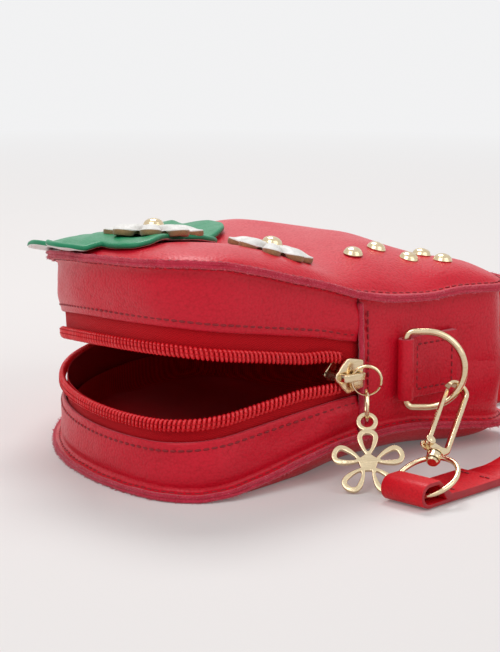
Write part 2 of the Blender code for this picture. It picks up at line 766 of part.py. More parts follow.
def build_tab():
    """Leather tab sewn to the tip gusset, rolled round the straight bar of the D ring."""
    place = empty("tab_axis", frame_at(side_at(TAB_X), BULGE + GAP - SEAM))
    roll = D_WIRE + TAB_PLAY + LEATHER
    start = math.asin((roll - 2 * LEATHER) / roll)
    sweep = 3 * math.pi / 2 - start
    arc = [(roll * math.cos(a), roll * math.sin(a) - roll) for a in
           [-start - sweep * i / 18 for i in range(19)]]
    edge = [(TAB_LENGTH, 0), (TAB_LENGTH, -2 * LEATHER), *arc]
    hole = [(x, y - roll) for x, y in torus_points(D_WIRE + TAB_PLAY, 12)]
    from_bmesh("d_ring_tab_near", outline_solid("tab", [edge, hole], TAB_WIDTH / 2), LEATHER_RED, place)
    turn = Matrix.Translation((0, -roll, 0)) @ Matrix.Rotation(-math.radians(D_SWING), 4, "Z")
    swing = empty("d_ring_axis", turn, place)
    straight = D_REACH - D_HALF
    points = [(0, 0, D_HALF * (i / 3 - 1)) for i in range(7)] + [(straight / 2, 0, D_HALF)]
    points += [(straight + D_HALF * math.sin(math.pi * i / 12), 0, D_HALF * math.cos(math.pi * i / 12))
               for i in range(13)]
    points += [(straight / 2, 0, -D_HALF)]
    from_bmesh("d_ring_near", wire("d_ring", points, D_WIRE, closed=True), GOLD, swing)
    below = math.radians(HOOK_ON_RING)
    seat = Vector((straight + D_HALF * math.cos(below), 0, -D_HALF * math.sin(below)))
    bpy.context.view_layer.update()
    return swing, swing.matrix_world @ seat


def arc_points(centre, radius, start, finish, count):
    """Points on an arc in a plane, with angles in degrees."""
    angles = [math.radians(start + (finish - start) * i / count) for i in range(count + 1)]
    return [(centre[0] + radius * math.cos(a), centre[1] + radius * math.sin(a)) for a in angles]


def upright(bm):
    """Turns a plate drawn in X and Y so that it stands in X and Z."""
    bmesh.ops.rotate(bm, cent=(0, 0, 0), matrix=Matrix.Rotation(math.pi / 2, 3, "X"), verts=bm.verts)
    return bm


def build_hook(swing, seat):
    """Hook with a sprung gate; X is from spine to gate, Y its thickness, Z up to the nose."""
    lean, aside, below = (math.radians(a) for a in (HOOK_LEAN, HOOK_TURN, HOOK_ON_RING))
    up = Vector((math.sin(aside) * math.cos(lean), math.sin(lean), math.cos(lean) * math.cos(aside)))
    up.normalize()
    along = swing.matrix_world.to_3x3() @ Vector((math.sin(below), 0, math.cos(below)))
    thick = (along - up * along.dot(up)).normalized()
    turn = Matrix((thick.cross(up), thick, up)).transposed().to_4x4()
    world = Matrix.Translation(seat) @ turn
    place = empty("hook_axis", swing.matrix_world.inverted() @ world, swing)
    outer = HOOK_INNER + HOOK_BAR
    nose = (0, D_WIRE + HOOK_PLAY - HOOK_INNER)
    foot, sole = nose[1] - HOOK_SHANK, nose[1] - HOOK_SHANK - HOOK_BASE
    boss = BOSS_RADIUS
    profile = arc_points(nose, outer, 0, 180, 14)
    profile += [(-outer, foot), (-boss, sole), (boss, sole), (outer, foot), (-HOOK_INNER, foot)]
    profile += arc_points(nose, HOOK_INNER, 180, 0, 12)
    body = [upright(outline_solid("hook", [profile], HOOK_THICK / 2))]
    pin_at = (outer - HOOK_BAR / 2, foot - GATE_BORE)
    pin_place = Matrix.Translation((pin_at[0], 0, pin_at[1])) @ Matrix.Rotation(math.pi / 2, 4, "X")
    ears = bmesh.new()
    ear_half = HOOK_THICK / 2 + EAR
    cylinder(ears, HOOK_BAR, 2 * ear_half, pin_place)
    body.append(ears)
    post_low, post_high = sole - 2 * GAP - BOSS_HEIGHT, sole + HOOK_BASE / 2
    post = bmesh.new()
    cylinder(post, POST_RADIUS, post_high - post_low, Matrix.Translation((0, 0, (post_high + post_low) / 2)))
    body.append(post)
    head = bmesh.new()
    head_place = Matrix.Translation((0, 0, post_low - RIVET_HEIGHT / 2))
    cylinder(head, POST_RADIUS, RIVET_HEIGHT, head_place, top=RIVET_RADIUS)
    body.append(head)
    slot = bmesh.new()
    half = HOOK_THICK / 2 - EAR / 2
    box(slot, (HOOK_INNER - HOOK_BAR, -half, foot - 2 * HOOK_BAR),
        (outer + 2 * HOOK_BAR, half, foot + HOOK_BAR))
    hook = join_all("hook_body_near", body, GOLD, place, Matrix.Identity(4), [slot])
    pin = bmesh.new()
    cylinder(pin, GATE_PIN, 2 * ear_half - EAR, pin_place)
    boolean(hook, tool_object("hook_pin", pin, place, Matrix.Identity(4)), "UNION")
    build_gate(place, pin_at, half - GAP, nose[1] - GATE_TIP, outer, foot)
    build_eye(place, sole - GAP)
    return place, sole


def build_gate(place, pin_at, half, tip, outer, foot):
    """Gate bar from the ears up to the nose, with a bore for the pin."""
    axis = empty("gate_axis", Matrix.Translation((pin_at[0], 0, pin_at[1])), place)
    low, high = HOOK_INNER + GAP / 3, outer
    edge = arc_points((0, 0), HOOK_BAR - 2 * GAP, 180, 360, 10)
    edge += [(high - pin_at[0], foot - pin_at[1] + GAP), (high - pin_at[0], tip - pin_at[1])]
    edge += [(low - pin_at[0], tip - pin_at[1]), (low - pin_at[0], foot - pin_at[1] + GAP)]
    bore = torus_points(GATE_BORE, 12)
    from_bmesh("hook_gate_near", upright(outline_solid("gate", [edge, bore], half)), GOLD, axis)


def build_eye(place, top):
    """Round eye that turns on the hook's post, with the boss that the post passes through."""
    bpy.context.view_layer.update()
    turn = math.radians(STRAP_TURN)
    across = place.matrix_world.to_3x3().inverted() @ Vector((math.sin(turn), -math.cos(turn), 0))
    facing = Matrix.Rotation(math.atan2(-across.x, across.y), 4, "Z")
    axis = empty("eye_axis", Matrix.Translation((0, 0, top)) @ facing, place)
    centre = -BOSS_HEIGHT / 2 - EYE_RADIUS
    loop = [(0, x, centre + z) for x, z in torus_points(EYE_RADIUS, 24)]
    ring = wire("eye", loop, EYE_WIRE, closed=True)
    boss = bmesh.new()
    cylinder(boss, BOSS_RADIUS, BOSS_HEIGHT, Matrix.Translation((0, 0, -BOSS_HEIGHT / 2)))
    bore = bmesh.new()
    cylinder(bore, POST_RADIUS + POST_PLAY, 2 * BOSS_HEIGHT, Matrix.Translation((0, 0, -BOSS_HEIGHT / 2)))
    join_all("swivel_eye_near", [ring, boss], GOLD, axis, Matrix.Identity(4), [bore])


def build_strap_end(place, sole):
    """The strap's end, folded round the eye and tacked to itself, lying on the surface."""
    bpy.context.view_layer.update()
    turn = math.radians(STRAP_TURN)
    run = Vector((math.cos(turn), math.sin(turn), 0))
    across = run.cross(Z_AXIS)
    up = place.matrix_world.to_3x3().col[2]
    middle = place.matrix_world @ Vector((0, 0, sole - GAP - BOSS_HEIGHT / 2 - EYE_RADIUS))
    low = middle - (up - across * across.dot(up)).normalized() * EYE_RADIUS
    centre = Vector((low.x, low.y, STRAP_LOOP + STRAP + GAP)) + run * EYE_WIRE
    frame = Matrix((run, Z_AXIS, run.cross(Z_AXIS))).transposed().to_4x4()
    outer = STRAP_LOOP + STRAP
    tail = [(STRAP_FOLD, -outer), (STRAP_FOLD, 2 * STRAP - outer)]
    tail += [(2 * STRAP_LOOP_LONG + STRAP, 2 * STRAP - outer), (STRAP_LOOP_LONG, outer)]
    edge = arc_points((0, 0), outer, 90, 270, 14) + tail
    hole = arc_points((0, 0), STRAP_LOOP, 90, 270, 12)
    hole += [(2 * STRAP_LOOP_LONG - STRAP, -STRAP_LOOP), (STRAP_LOOP_LONG - STRAP / 2, STRAP_LOOP)]
    bm = outline_solid("strap_end", [edge, hole], STRAP_WIDTH / 2)
    from_bmesh("strap_end_near", bm, STRAP_RED, None, Matrix.Translation(centre) @ frame)
    return centre + run * (STRAP_FOLD + GAP), run


STRAP_ROUTE = (
    (0.156, -0.030), (0.173, 0.004), (0.178, 0.050), (0.174, 0.100), (0.166, 0.145), (0.146, 0.172),
    (0.108, 0.178), (0.062, 0.178), (0.026, 0.178), (0.012, 0.167), (0.026, 0.156), (0.062, 0.156),
    (0.104, 0.156), (0.134, 0.154), (0.144, 0.144), (0.134, 0.134), (0.104, 0.132), (0.062, 0.132),
    (0.026, 0.132), (0.012, 0.121), (0.026, 0.110), (0.066, 0.109), (0.112, 0.108), (0.142, 0.104),
    (0.155, 0.086), (0.154, 0.060),
)


def through(points, count):
    """A smooth curve through points, read at even steps of its parameter."""
    made, last = [], len(points) - 1
    for i in range(count + 1):
        place = i / count * last
        k = min(int(place), last - 1)
        u = place - k
        a, b, c, d = (points[min(max(k + n, 0), last)] for n in (-1, 0, 1, 2))
        slope, bend, twist = c - a, a * 2 - b * 5 + c * 4 - d, b * 3 - a - c * 3 + d
        made.append((b * 2 + slope * u + bend * u ** 2 + twist * u ** 3) / 2)
    return made


def build_strap(start, run):
    """The rest of the strap: flat at both ends, standing on its edge in loose folds behind the bag."""
    flip = Matrix.Diagonal((1, -1, 1))
    lead = [start + run * STRAP_WIDTH * share for share in (0, 1 / 2, 1)]
    points = lead + [Vector((x, y, 0)) for x, y in STRAP_ROUTE] + [flip @ p for p in lead[::-1]]
    line = through(points, STRAP_STATIONS)
    sections = []
    for i, place in enumerate(line):
        before, after = line[max(i - 1, 0)], line[min(i + 1, STRAP_STATIONS)]
        ahead = (after - before).normalized()
        if i == 0:
            ahead = run
        if i == STRAP_STATIONS:
            ahead = -(flip @ run)
        share = smooth(min(i, STRAP_STATIONS - i) / (STRAP_STATIONS / 8))
        aside = Vector((ahead.y, -ahead.x, 0)).normalized()
        flat, raised = math.cos(share * math.pi / 2), math.sin(share * math.pi / 2)
        across = (aside * flat + Z_AXIS * raised) * STRAP_WIDTH / 2
        thick = (Z_AXIS * flat - aside * raised) * STRAP / 2
        centre = Vector((place.x, place.y, across.z + abs(thick.z) + GAP))
        corners = ((across, thick), (-across, thick), (-across, -thick), (across, -thick))
        sections.append([centre + a + b for a, b in corners])
    bm = bmesh.new()
    loft(bm, sections)
    from_bmesh("strap", bm, STRAP_RED, flat=True)


def panel_place(x, y):
    """Length along the outline, and share of the way to the crown, of a point in plan."""
    away = Vector((x - CROWN_X, y, 0))
    if away.length < GAP:
        return 0, 1
    sign = 1 if y < 0 else -1
    low, high = 0, HALF_RUN
    for _ in range(30):
        middle = (low + high) / 2
        px, py = crowned(sign * middle, SEAM, 0)
        bearing = math.atan2(abs(py), px - CROWN_X)
        low, high = (middle, high) if bearing > math.atan2(abs(y), x - CROWN_X) else (low, middle)
    px, py = crowned(sign * low, SEAM, 0)
    return sign * low, 1 - away.length / math.hypot(px - CROWN_X, py)


def on_panel(x, y, lift=0):
    """A point over the front panel's outer face, between the same rings as the panel's own."""
    along, share = panel_place(x, y)
    if share <= 0:
        return fold(Vector((x, y, back_seam(x) + gusset_height(x) + LEATHER + lift)))
    marks = ((0, 0), *PANEL_RING_SHARES)
    for (low, low_height), (high, high_height) in zip(marks, marks[1:]):
        if share <= high:
            break
    outer = front_point(along, SEAM, low, low_height, -lift)
    inner = front_point(along, SEAM, high, high_height, -lift)
    return outer.lerp(inner, (share - low) / (high - low))


def panel_frame(x, y, reach=SEAM, surface=None):
    """Axes standing on the front panel, or on another surface, set by points a reach away."""
    at = surface or on_panel
    ahead = (at(x + reach, y) - at(x - reach, y)).normalized()
    aside = (at(x, y + reach) - at(x, y - reach)).normalized()
    up = ahead.cross(aside).normalized()
    return Matrix.Translation(at(x, y)) @ Matrix((ahead, up.cross(ahead), up)).transposed().to_4x4()


def rested(place, x, y, radius, surface):
    """The frame, raised until a disc of that radius clears the surface."""
    back = place.inverted()
    high = 0
    for ring in (1, 2, 3):
        for a in range(16):
            reach, turn = radius * ring / 3, 2 * math.pi * a / 16
            high = max(high, (back @ surface(x + reach * math.cos(turn), y + reach * math.sin(turn))).z)
    return place @ Matrix.Translation((0, 0, high + 2 * GAP))


def leaf_top(x, y):
    """Upper face of the leaf: near the panel at the middle, flat where it hangs past the rim."""
    rim_share = max(1 - panel_place(x, y)[1] / LEAF_RIM_SHARE, 0)
    return on_panel(x, y, LEAF_LIFT + LEAF + LEAF_FLAT_SHARE * FRONT_DOME * min(rim_share, 1))


def build_leaf():
    """Calyx of pointed lobes, one sheet laid over the top of the front panel."""
    bm = bmesh.new()

    def ring(reach_share):
        def at(along):
            turn = math.pi * along / HALF_RUN
            wave = abs(math.sin(turn * LEAF_LOBES / 2 + LEAF_TURN))
            reach = LEAF_VALLEY + (LEAF_REACH - LEAF_VALLEY) * wave ** LEAF_POINT_SHARE
            x = LEAF_X - reach * math.cos(turn) * reach_share * LEAF_LONG_SHARE
            y = -reach * math.sin(turn) * reach_share
            return leaf_top(x, y)
        return at

    dome(bm, [ring(1 - i / LEAF_RINGS) for i in range(LEAF_RINGS + 1)])
    skin("calyx_leaf", bm, LEAF, GREEN, MIDDLE)


def build_daisy(name, x, y, radius, surface):
    """A flat flower with rounded petals, cut from sheet."""
    count = DAISY_PETALS * 8
    edge = []
    for i in range(count):
        a = 2 * math.pi * i / count
        wave = abs(math.cos(a * DAISY_PETALS / 2))
        reach = radius * (DAISY_VALLEY_SHARE + (1 - DAISY_VALLEY_SHARE) * wave ** DAISY_ROUND_SHARE)
        edge.append((reach * math.cos(a), reach * math.sin(a)))
    bm = outline_solid(name, [edge], DAISY / 2)
    seat = rested(panel_frame(x, y, radius, surface), x, y, radius, surface)
    from_bmesh(name, bm, WHITE, None, seat @ Matrix.Translation((0, 0, DAISY / 2)))
    stud(name + "_stud", seat @ Matrix.Translation((0, 0, DAISY + GAP)), STUD_RADIUS)


def stud(name, place, radius):
    """A domed gold stud, turned about its axis."""
    bm = bmesh.new()
    bmesh.ops.create_uvsphere(bm, u_segments=14, v_segments=8, radius=radius)
    bmesh.ops.bisect_plane(bm, geom=bm.verts[:] + bm.edges[:] + bm.faces[:], plane_co=(0, 0, 0),
                           plane_no=(0, 0, 1), clear_inner=True, dist=GAP / 100)
    bmesh.ops.holes_fill(bm, edges=[e for e in bm.edges if e.is_boundary])
    bmesh.ops.scale(bm, vec=(1, 1, STUD_HEIGHT_SHARE), verts=bm.verts)
    from_bmesh(name, bm, GOLD, None, place)


def build_trim():
    build_leaf()
    build_daisy("leaf_daisy", LEAF_DAISY_X, LEAF_DAISY_Y, LEAF_DAISY_RADIUS, leaf_top)
    build_daisy("panel_daisy", PANEL_DAISY_X, PANEL_DAISY_Y, PANEL_DAISY_RADIUS, on_panel)
    for number, (x, y) in enumerate(SEED_PLACES, 1):
        stud(f"seed_stud_{number}", rested(panel_frame(x, y), x, y, SEED_RADIUS, on_panel), SEED_RADIUS)


def mirror_piece(name, near, finish):
    """The far side's copy of a near piece."""
    bpy.context.view_layer.update()
    ready = near.evaluated_get(bpy.context.evaluated_depsgraph_get())
    data = bpy.data.meshes.new_from_object(ready)
    flip = Matrix.Diagonal((1, -1, 1, 1))
    origin = flip @ near.matrix_world.translation
    data.transform(Matrix.Translation(-origin) @ flip @ near.matrix_world)
    data.flip_normals()
    data.materials.clear()
    return add(name, data, finish, None, Matrix.Translation(origin))


bpy.context.scene.unit_settings.system = "METRIC"
for old in list(bpy.data.objects):
    bpy.data.objects.remove(old)
BAG = new_collection("strawberry_bag")
CUTTERS = new_collection("cutters")
LEATHER_RED = material("red_leather", (0.62, 0.015, 0.03), 0.42)
TAPE_RED = material("red_zip_tape", (0.55, 0.01, 0.02), 0.75)
COIL_RED = material("red_nylon_coil", (0.6, 0.01, 0.02), 0.35)
LINING_RED = material("dark_red_lining", (0.18, 0.003, 0.006), 0.8)
GOLD = material("pale_gold", (0.83, 0.66, 0.42), 0.22, 1.0)
GREEN = material("green_leaf", (0.0, 0.22, 0.08), 0.4)
WHITE = material("white_petal", (0.85, 0.83, 0.8), 0.5)
STRAP_RED = material("red_strap", (0.6, 0.01, 0.02), 0.45)

build_panels()
build_gussets()
build_lining()
build_zip()
SLIDER_PLACE, TUNNEL = build_slider()
build_pull(SLIDER_PLACE, TUNNEL)
RING_SWING, HOOK_SEAT = build_tab()
HOOK_PLACE, HOOK_SOLE = build_hook(RING_SWING, HOOK_SEAT)
STRAP_START, STRAP_RUN = build_strap_end(HOOK_PLACE, HOOK_SOLE)
build_strap(STRAP_START, STRAP_RUN)
build_trim()
for piece in ("d_ring_tab", "d_ring", "hook_body", "hook_gate", "swivel_eye", "strap_end"):
    source = bpy.data.objects[piece + "_near"]
    mirror_piece(piece + "_far", source, source.data.materials[0])
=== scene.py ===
"""Strawberry crossbody bag on its back with the zip undone: the look of every piece.

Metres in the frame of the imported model, +Z up. X runs from the strawberry's top to its tip and
-Y is the near side. Walls are worked out for the closed bag, then the front is turned up.
"""

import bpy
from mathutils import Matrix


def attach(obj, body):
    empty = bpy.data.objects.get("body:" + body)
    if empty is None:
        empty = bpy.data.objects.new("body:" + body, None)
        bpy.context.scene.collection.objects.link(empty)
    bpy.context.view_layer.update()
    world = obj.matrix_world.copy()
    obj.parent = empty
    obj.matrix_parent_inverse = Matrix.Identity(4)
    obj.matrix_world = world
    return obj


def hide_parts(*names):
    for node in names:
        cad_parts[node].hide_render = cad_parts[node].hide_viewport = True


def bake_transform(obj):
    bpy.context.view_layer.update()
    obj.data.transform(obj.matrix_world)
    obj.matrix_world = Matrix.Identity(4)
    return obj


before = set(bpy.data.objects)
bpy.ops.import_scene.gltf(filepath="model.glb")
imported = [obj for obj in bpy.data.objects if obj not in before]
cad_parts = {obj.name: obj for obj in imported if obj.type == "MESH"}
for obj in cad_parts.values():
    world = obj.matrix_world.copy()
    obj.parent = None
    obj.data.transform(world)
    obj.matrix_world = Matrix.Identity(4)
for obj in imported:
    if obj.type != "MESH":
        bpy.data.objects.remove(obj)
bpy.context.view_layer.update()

import logging
import math
import random
from dataclasses import dataclass
from enum import Enum
from typing import Callable, Sequence

import bmesh
import bpy
import numpy as np
from mathutils import Matrix, Vector, noise

LOG = logging.getLogger("strawberry_bag")
Z_AXIS = Vector((0, 0, 1))
NEAR_MESH = 1e-6
MIRROR = Matrix.Diagonal((1, -1, 1))
UPRIGHT = Matrix.Rotation(math.pi / 2, 4, "X")
Point = Vector
Pair = tuple[float, float]
Triple = tuple[float, float, float]
Row = Triple
Colour = Triple
Solid = bmesh.types.BMesh
Piece = bpy.types.Object
Paint = bpy.types.Material
Plan = Callable[[float, float], Point]
Wall = Callable[[float, Row], Point]


class Slot(Enum):
    """Material slots of the record."""

    LEATHER = "red_leather"
    TAPE = "red_zip_tape"
    NYLON = "red_nylon_coil"
    LINING = "dark_red_lining"
    GOLD = "pale_gold"
    LEAF = "green_leaf"
    PETAL = "white_petal"
    STRAP = "red_strap"


class Carrier(Enum):
    """Bodies that the pieces ride on."""

    BAG = "bag"
    LID = "lid"


class Side(Enum):
    """Halves of the zip: the front half is turned up, the back half lies still."""

    FRONT = 1
    BACK = -1


# Finishes


class Signal:
    """A node's output that can be used in Python expressions."""

    def __init__(self, nodes: "Nodes", socket: bpy.types.NodeSocket | None) -> None:
        """Keeps the node tree's helper and the socket."""
        self.nodes = nodes
        self.socket = socket

    def out(self, which: int | str) -> "Signal":
        """Another output of the same node, by number or name."""
        return Signal(self.nodes, self.socket.node.outputs[which])

    def maths(self, operation: str, first: object, second: object = 0.0) -> "Signal":
        """Adds one Math node on two numbers or signals."""
        return self.nodes.add("ShaderNodeMath", {"operation": operation}, {0: first, 1: second})

    def __add__(self, other: object) -> "Signal":
        """Sum."""
        return self.maths("ADD", self, other)

    def __sub__(self, other: object) -> "Signal":
        """Difference."""
        return self.maths("SUBTRACT", self, other)

    def __rsub__(self, other: object) -> "Signal":
        """Difference from a number."""
        return self.maths("SUBTRACT", other, self)

    def __mul__(self, other: object) -> "Signal":
        """Product."""
        return self.maths("MULTIPLY", self, other)

    __radd__ = __add__
    __rmul__ = __mul__

    def wave(self) -> "Signal":
        """Sine of the signal."""
        return self.maths("SINE", self)

    def held(self) -> "Signal":
        """The signal kept between 0 and 1."""
        return self.maths("MINIMUM", self.maths("MAXIMUM", self, 0.0), 1.0)


class Nodes:
    """A material's node tree with one way to add a node."""

    def __init__(self, name: str, world: bool = False) -> None:
        """Makes the material, or the world, and empties its tree.

        Args:
            name: name of the material or world.
            world: whether it is a world.
        """
        self.material = (bpy.data.worlds if world else bpy.data.materials).new(name)
        self.material.use_nodes = True
        self.tree = self.material.node_tree
        self.tree.nodes.clear()

    def add(self, kind: str, settings: dict[str, object], values: dict[int | str, object]) -> Signal:
        """Adds a node.

        Args:
            kind: the node's type.
            settings: properties set first.
            values: each socket's number, colour or Signal.

        Returns:
            The new node's first output.
        """
        node = self.tree.nodes.new(kind)
        for key, value in settings.items():
            setattr(node, key, value)
        for key, value in values.items():
            if isinstance(value, Signal):
                self.tree.links.new(value.socket, node.inputs[key])
            else:
                node.inputs[key].default_value = value
        return Signal(self, node.outputs[0] if node.outputs else None)

    def place(self) -> Signal:
        """Object coordinates."""
        return self.add("ShaderNodeTexCoord", {}, {}).out("Object")

    def cloud(self, size: float, detail: float = 3.0, at: Signal | None = None) -> Signal:
        """Soft noise with blobs of a size in metres."""
        values = {"Vector": at or self.place(), "Scale": 1 / size, "Detail": detail}
        return self.add("ShaderNodeTexNoise", {}, values)

    def pebbles(self, size: float) -> Signal:
        """Distance from the middles of cells of a size in metres."""
        values = {"Vector": self.place(), "Scale": 1 / size}
        return self.add("ShaderNodeTexVoronoi", {}, values).out("Distance")

    def blend(self, share: Signal, first: Colour, second: Colour) -> Signal:
        """Mixes two colours by the share of the second."""
        values = {0: share, 6: (*first, 1), 7: (*second, 1)}
        return self.add("ShaderNodeMix", {"data_type": "RGBA"}, values).out(2)

    def raised(self, height: Signal, depth: float) -> Signal:
        """Normal of a surface with a height pattern of a depth in metres."""
        return self.add("ShaderNodeBump", {}, {"Height": height, "Distance": depth, "Strength": 1.0})

    def seen(self) -> Signal:
        """1 for views straight, in reflections and through glass, and 0 for other light."""
        path = self.add("ShaderNodeLightPath", {}, {})
        rays = [path.out(f"Is {kind} Ray") for kind in ("Camera", "Glossy", "Transmission")]
        return (rays[0] + rays[1] + rays[2]).held()

    def finish(self, values: dict[str, object]) -> Paint:
        """Adds the shader and the output, and returns the material."""
        shader = self.add("ShaderNodeBsdfPrincipled", {}, values)
        self.add("ShaderNodeOutputMaterial", {}, {"Surface": shader})
        return self.material


@dataclass(frozen=True)
class Leather:
    """Pebbled leather with a clear top coat."""

    name: str
    colour: Colour
    # Second colour: painted shade for the valleys between pebbles, also used for random broad tone.
    crease: Colour
    grain: float = 0.00085
    depth: float = 0.00013
    roughness: float = 0.4
    coat: float = 0.12

    def make(self) -> Paint:
        """Makes the material: pebbles and fine pores, painted shade in the creases between pebbles mixed with
        random broad tone, uneven gloss.
        """
        n = Nodes(self.name)
        pebble = n.pebbles(self.grain)
        broad = n.cloud(0.018)
        pore = n.cloud(self.grain / 4)
        height = (1 - pebble * pebble * 1.4) * 0.75 + pore * 0.25
        # Painted shade: darker towards the cell edges, the low creases of the grain, plus random broad tone.
        dark = (pebble * 1.5 - 0.55 + (broad - 0.5) * 0.9).held() * 0.45
        return n.finish({
            "Base Color": n.blend(dark, self.colour, self.crease),
            "Roughness": (broad - 0.5) * 0.22 + pebble * 0.12 + (self.roughness - 0.06),
            "Specular IOR Level": 0.22, "Coat Weight": self.coat, "Coat Roughness": 0.24,
            "Normal": n.raised(height, self.depth),
        })


@dataclass(frozen=True)
class Suede:
    """Cut edge of leather: soft, uneven fibres."""

    name: str
    colour: Colour
    shade: Colour

    def make(self) -> Paint:
        """Makes the material: fine fibres in two tones with a soft sheen."""
        n = Nodes(self.name)
        fibre = n.cloud(0.00035, 5.0)
        tone = n.cloud(0.0022)
        return n.finish({
            "Base Color": n.blend((fibre * 1.6 - 0.4 + (tone - 0.5)).held(), self.shade, self.colour),
            "Roughness": 0.95, "Specular IOR Level": 0.2, "Sheen Weight": 0.35,
            "Sheen Roughness": 0.5, "Normal": n.raised(fibre, 0.0002),
        })


@dataclass(frozen=True)
class Weave:
    """Woven cloth or tape; threads follow the piece's UV map, in metres."""

    name: str
    colour: Colour
    shade: Colour
    thread: float
    roughness: float = 0.8

    def make(self) -> Paint:
        """Makes the material: warp and weft crowns with a little unevenness."""
        n = Nodes(self.name)
        spot = n.add("ShaderNodeTexCoord", {}, {}).out("UV")
        split = n.add("ShaderNodeSeparateXYZ", {}, {0: spot})
        turn = 2 * math.pi / self.thread
        warp = (split.out(0) * turn + split.out(1) * turn).wave()
        weft = (split.out(1) * turn - split.out(0) * turn * 0.5).wave()
        height = warp * 0.3 + weft * 0.3 + 0.4
        fuzz = n.cloud(0.0006)
        tone = (height * 0.7 + fuzz * 0.4).held()
        return n.finish({
            "Base Color": n.blend(tone, self.shade, self.colour), "Roughness": self.roughness,
            "Sheen Weight": 0.08, "Sheen Roughness": 0.4, "Specular IOR Level": 0.12,
            "Normal": n.raised(height + fuzz * 0.5, 0.00012),
        })


@dataclass(frozen=True)
class Plastic:
    """Nylon, thread or painted edge: a smooth skin with slight unevenness."""

    name: str
    colour: Colour
    shade: Colour
    roughness: float
    grain: float = 0.0005
    depth: float = 0.00004
    coat: float = 0.0

    def make(self) -> Paint:
        """Makes the material: small ripples and two tones."""
        n = Nodes(self.name)
        ripple = n.cloud(self.grain)
        tone = n.cloud(0.004)
        return n.finish({
            "Base Color": n.blend((tone * 2 - 0.5).held(), self.colour, self.shade),
            "Roughness": ripple * 0.16 + (self.roughness - 0.08), "Coat Weight": self.coat,
            "Coat Roughness": 0.15, "Normal": n.raised(ripple, self.depth),
        })


@dataclass(frozen=True)
class Gold:
    """Pale gold plate: polished, with fine rub marks."""

    name: str
    colour: Colour
    worn: Colour
    roughness: float = 0.17

    def make(self) -> Paint:
        """Makes the material: streaks of gloss and a slightly uneven casting."""
        n = Nodes(self.name)
        stretch = n.add("ShaderNodeMapping", {}, {"Vector": n.place(), "Scale": (1.0, 1.0, 6.0)})
        rub = n.cloud(0.0025, 6.0, stretch)
        cast = n.cloud(0.0016, 2.0)
        return n.finish({
            "Base Color": n.blend((rub * 1.5 - 0.4).held(), self.colour, self.worn),
            "Metallic": 1.0, "Roughness": rub * 0.2 + (self.roughness - 0.08),
            "Normal": n.raised(cast, 0.00005),
        })


@dataclass(frozen=True)
class Backdrop:
    """Floor that shows its own pale colour to the camera and in reflections."""

    name: str
    near: Colour
    far: Colour
    strength: float
    reach: float = 0.6

    def make(self) -> Paint:
        """Makes the material: plain paint mixed with its own light for direct views."""
        n = Nodes(self.name)
        away = n.add("ShaderNodeVectorMath", {"operation": "LENGTH"}, {0: n.place()}).out("Value")
        far = (away * (1 / self.reach) - 0.4).held()
        tone = n.blend(far, self.near, self.far)
        paint = n.add("ShaderNodeBsdfDiffuse", {}, {"Color": (*self.near, 1)})
        glow = n.add("ShaderNodeEmission", {}, {"Color": tone, "Strength": 1.0})
        share = n.seen() * (far * (1 - self.strength) + self.strength)
        both = n.add("ShaderNodeMixShader", {}, {0: share, 1: paint, 2: glow})
        n.add("ShaderNodeOutputMaterial", {}, {"Surface": both})
        return n.material


class Finishes:
    """Every finish of the bag, made once."""

    def __init__(self) -> None:
        """Makes the whole set."""
        # Each Leather's second colour is painted shade for the creases of its grain, mixed with random broad
        # tone.
        self.red = Leather("red_pebbled_leather", (0.64, 0.007, 0.026), (0.40, 0.002, 0.010)).make()
        self.raw_edge = Suede("pink_raw_edge", (0.74, 0.05, 0.105), (0.46, 0.012, 0.034)).make()
        self.fibre = Suede("pale_pink_fibre", (0.86, 0.22, 0.28), (0.66, 0.08, 0.13)).make()
        self.thread = Plastic("dark_red_thread", (0.22, 0.002, 0.008), (0.30, 0.004, 0.012), 0.6,
                              0.0003).make()
        self.tape = Weave("red_zip_tape_weave", (0.66, 0.008, 0.016), (0.42, 0.003, 0.008), 0.0007).make()
        self.nylon = Plastic("red_zip_nylon", (0.86, 0.012, 0.022), (0.74, 0.008, 0.014), 0.36,
                             coat=0.1).make()
        self.lining = Weave("dark_red_lining_cloth", (0.80, 0.001, 0.010), (0.50, 0.0, 0.005), 0.0009,
                            0.85).make()
        self.gold = Gold("pale_gold_plate", (0.80, 0.66, 0.44), (0.62, 0.47, 0.28)).make()
        self.green = Leather("green_leaf_leather", (0.002, 0.25, 0.10), (0.0, 0.15, 0.06), 0.0007, 0.00007,
                             0.42, 0.16).make()
        self.green_edge = Plastic("green_cut_edge", (0.0, 0.17, 0.07), (0.0, 0.27, 0.12), 0.55, 0.0004).make()
        self.white = Leather("white_petal_leather", (0.82, 0.80, 0.77), (0.6, 0.57, 0.52), 0.0007, 0.00006,
                             0.42, 0.1).make()
        self.tan_edge = Suede("tan_petal_edge", (0.46, 0.29, 0.14), (0.26, 0.15, 0.07)).make()
        self.strap = Leather("red_strap_leather", (0.68, 0.008, 0.018), (0.42, 0.003, 0.010), 0.0007, 0.00008,
                             0.45, 0.03).make()
        self.strap_edge = Plastic("red_strap_painted_edge", (0.34, 0.006, 0.014), (0.45, 0.01, 0.02),
                                  0.5).make()
        self.inside = Suede("leather_flesh_side", (0.30, 0.02, 0.03), (0.16, 0.008, 0.015)).make()


# Shape of the bag


def smooth(share: float) -> float:
    """Smooth step of a share held between 0 and 1."""
    share = min(max(share, 0), 1)
    return share * share * (3 - 2 * share)


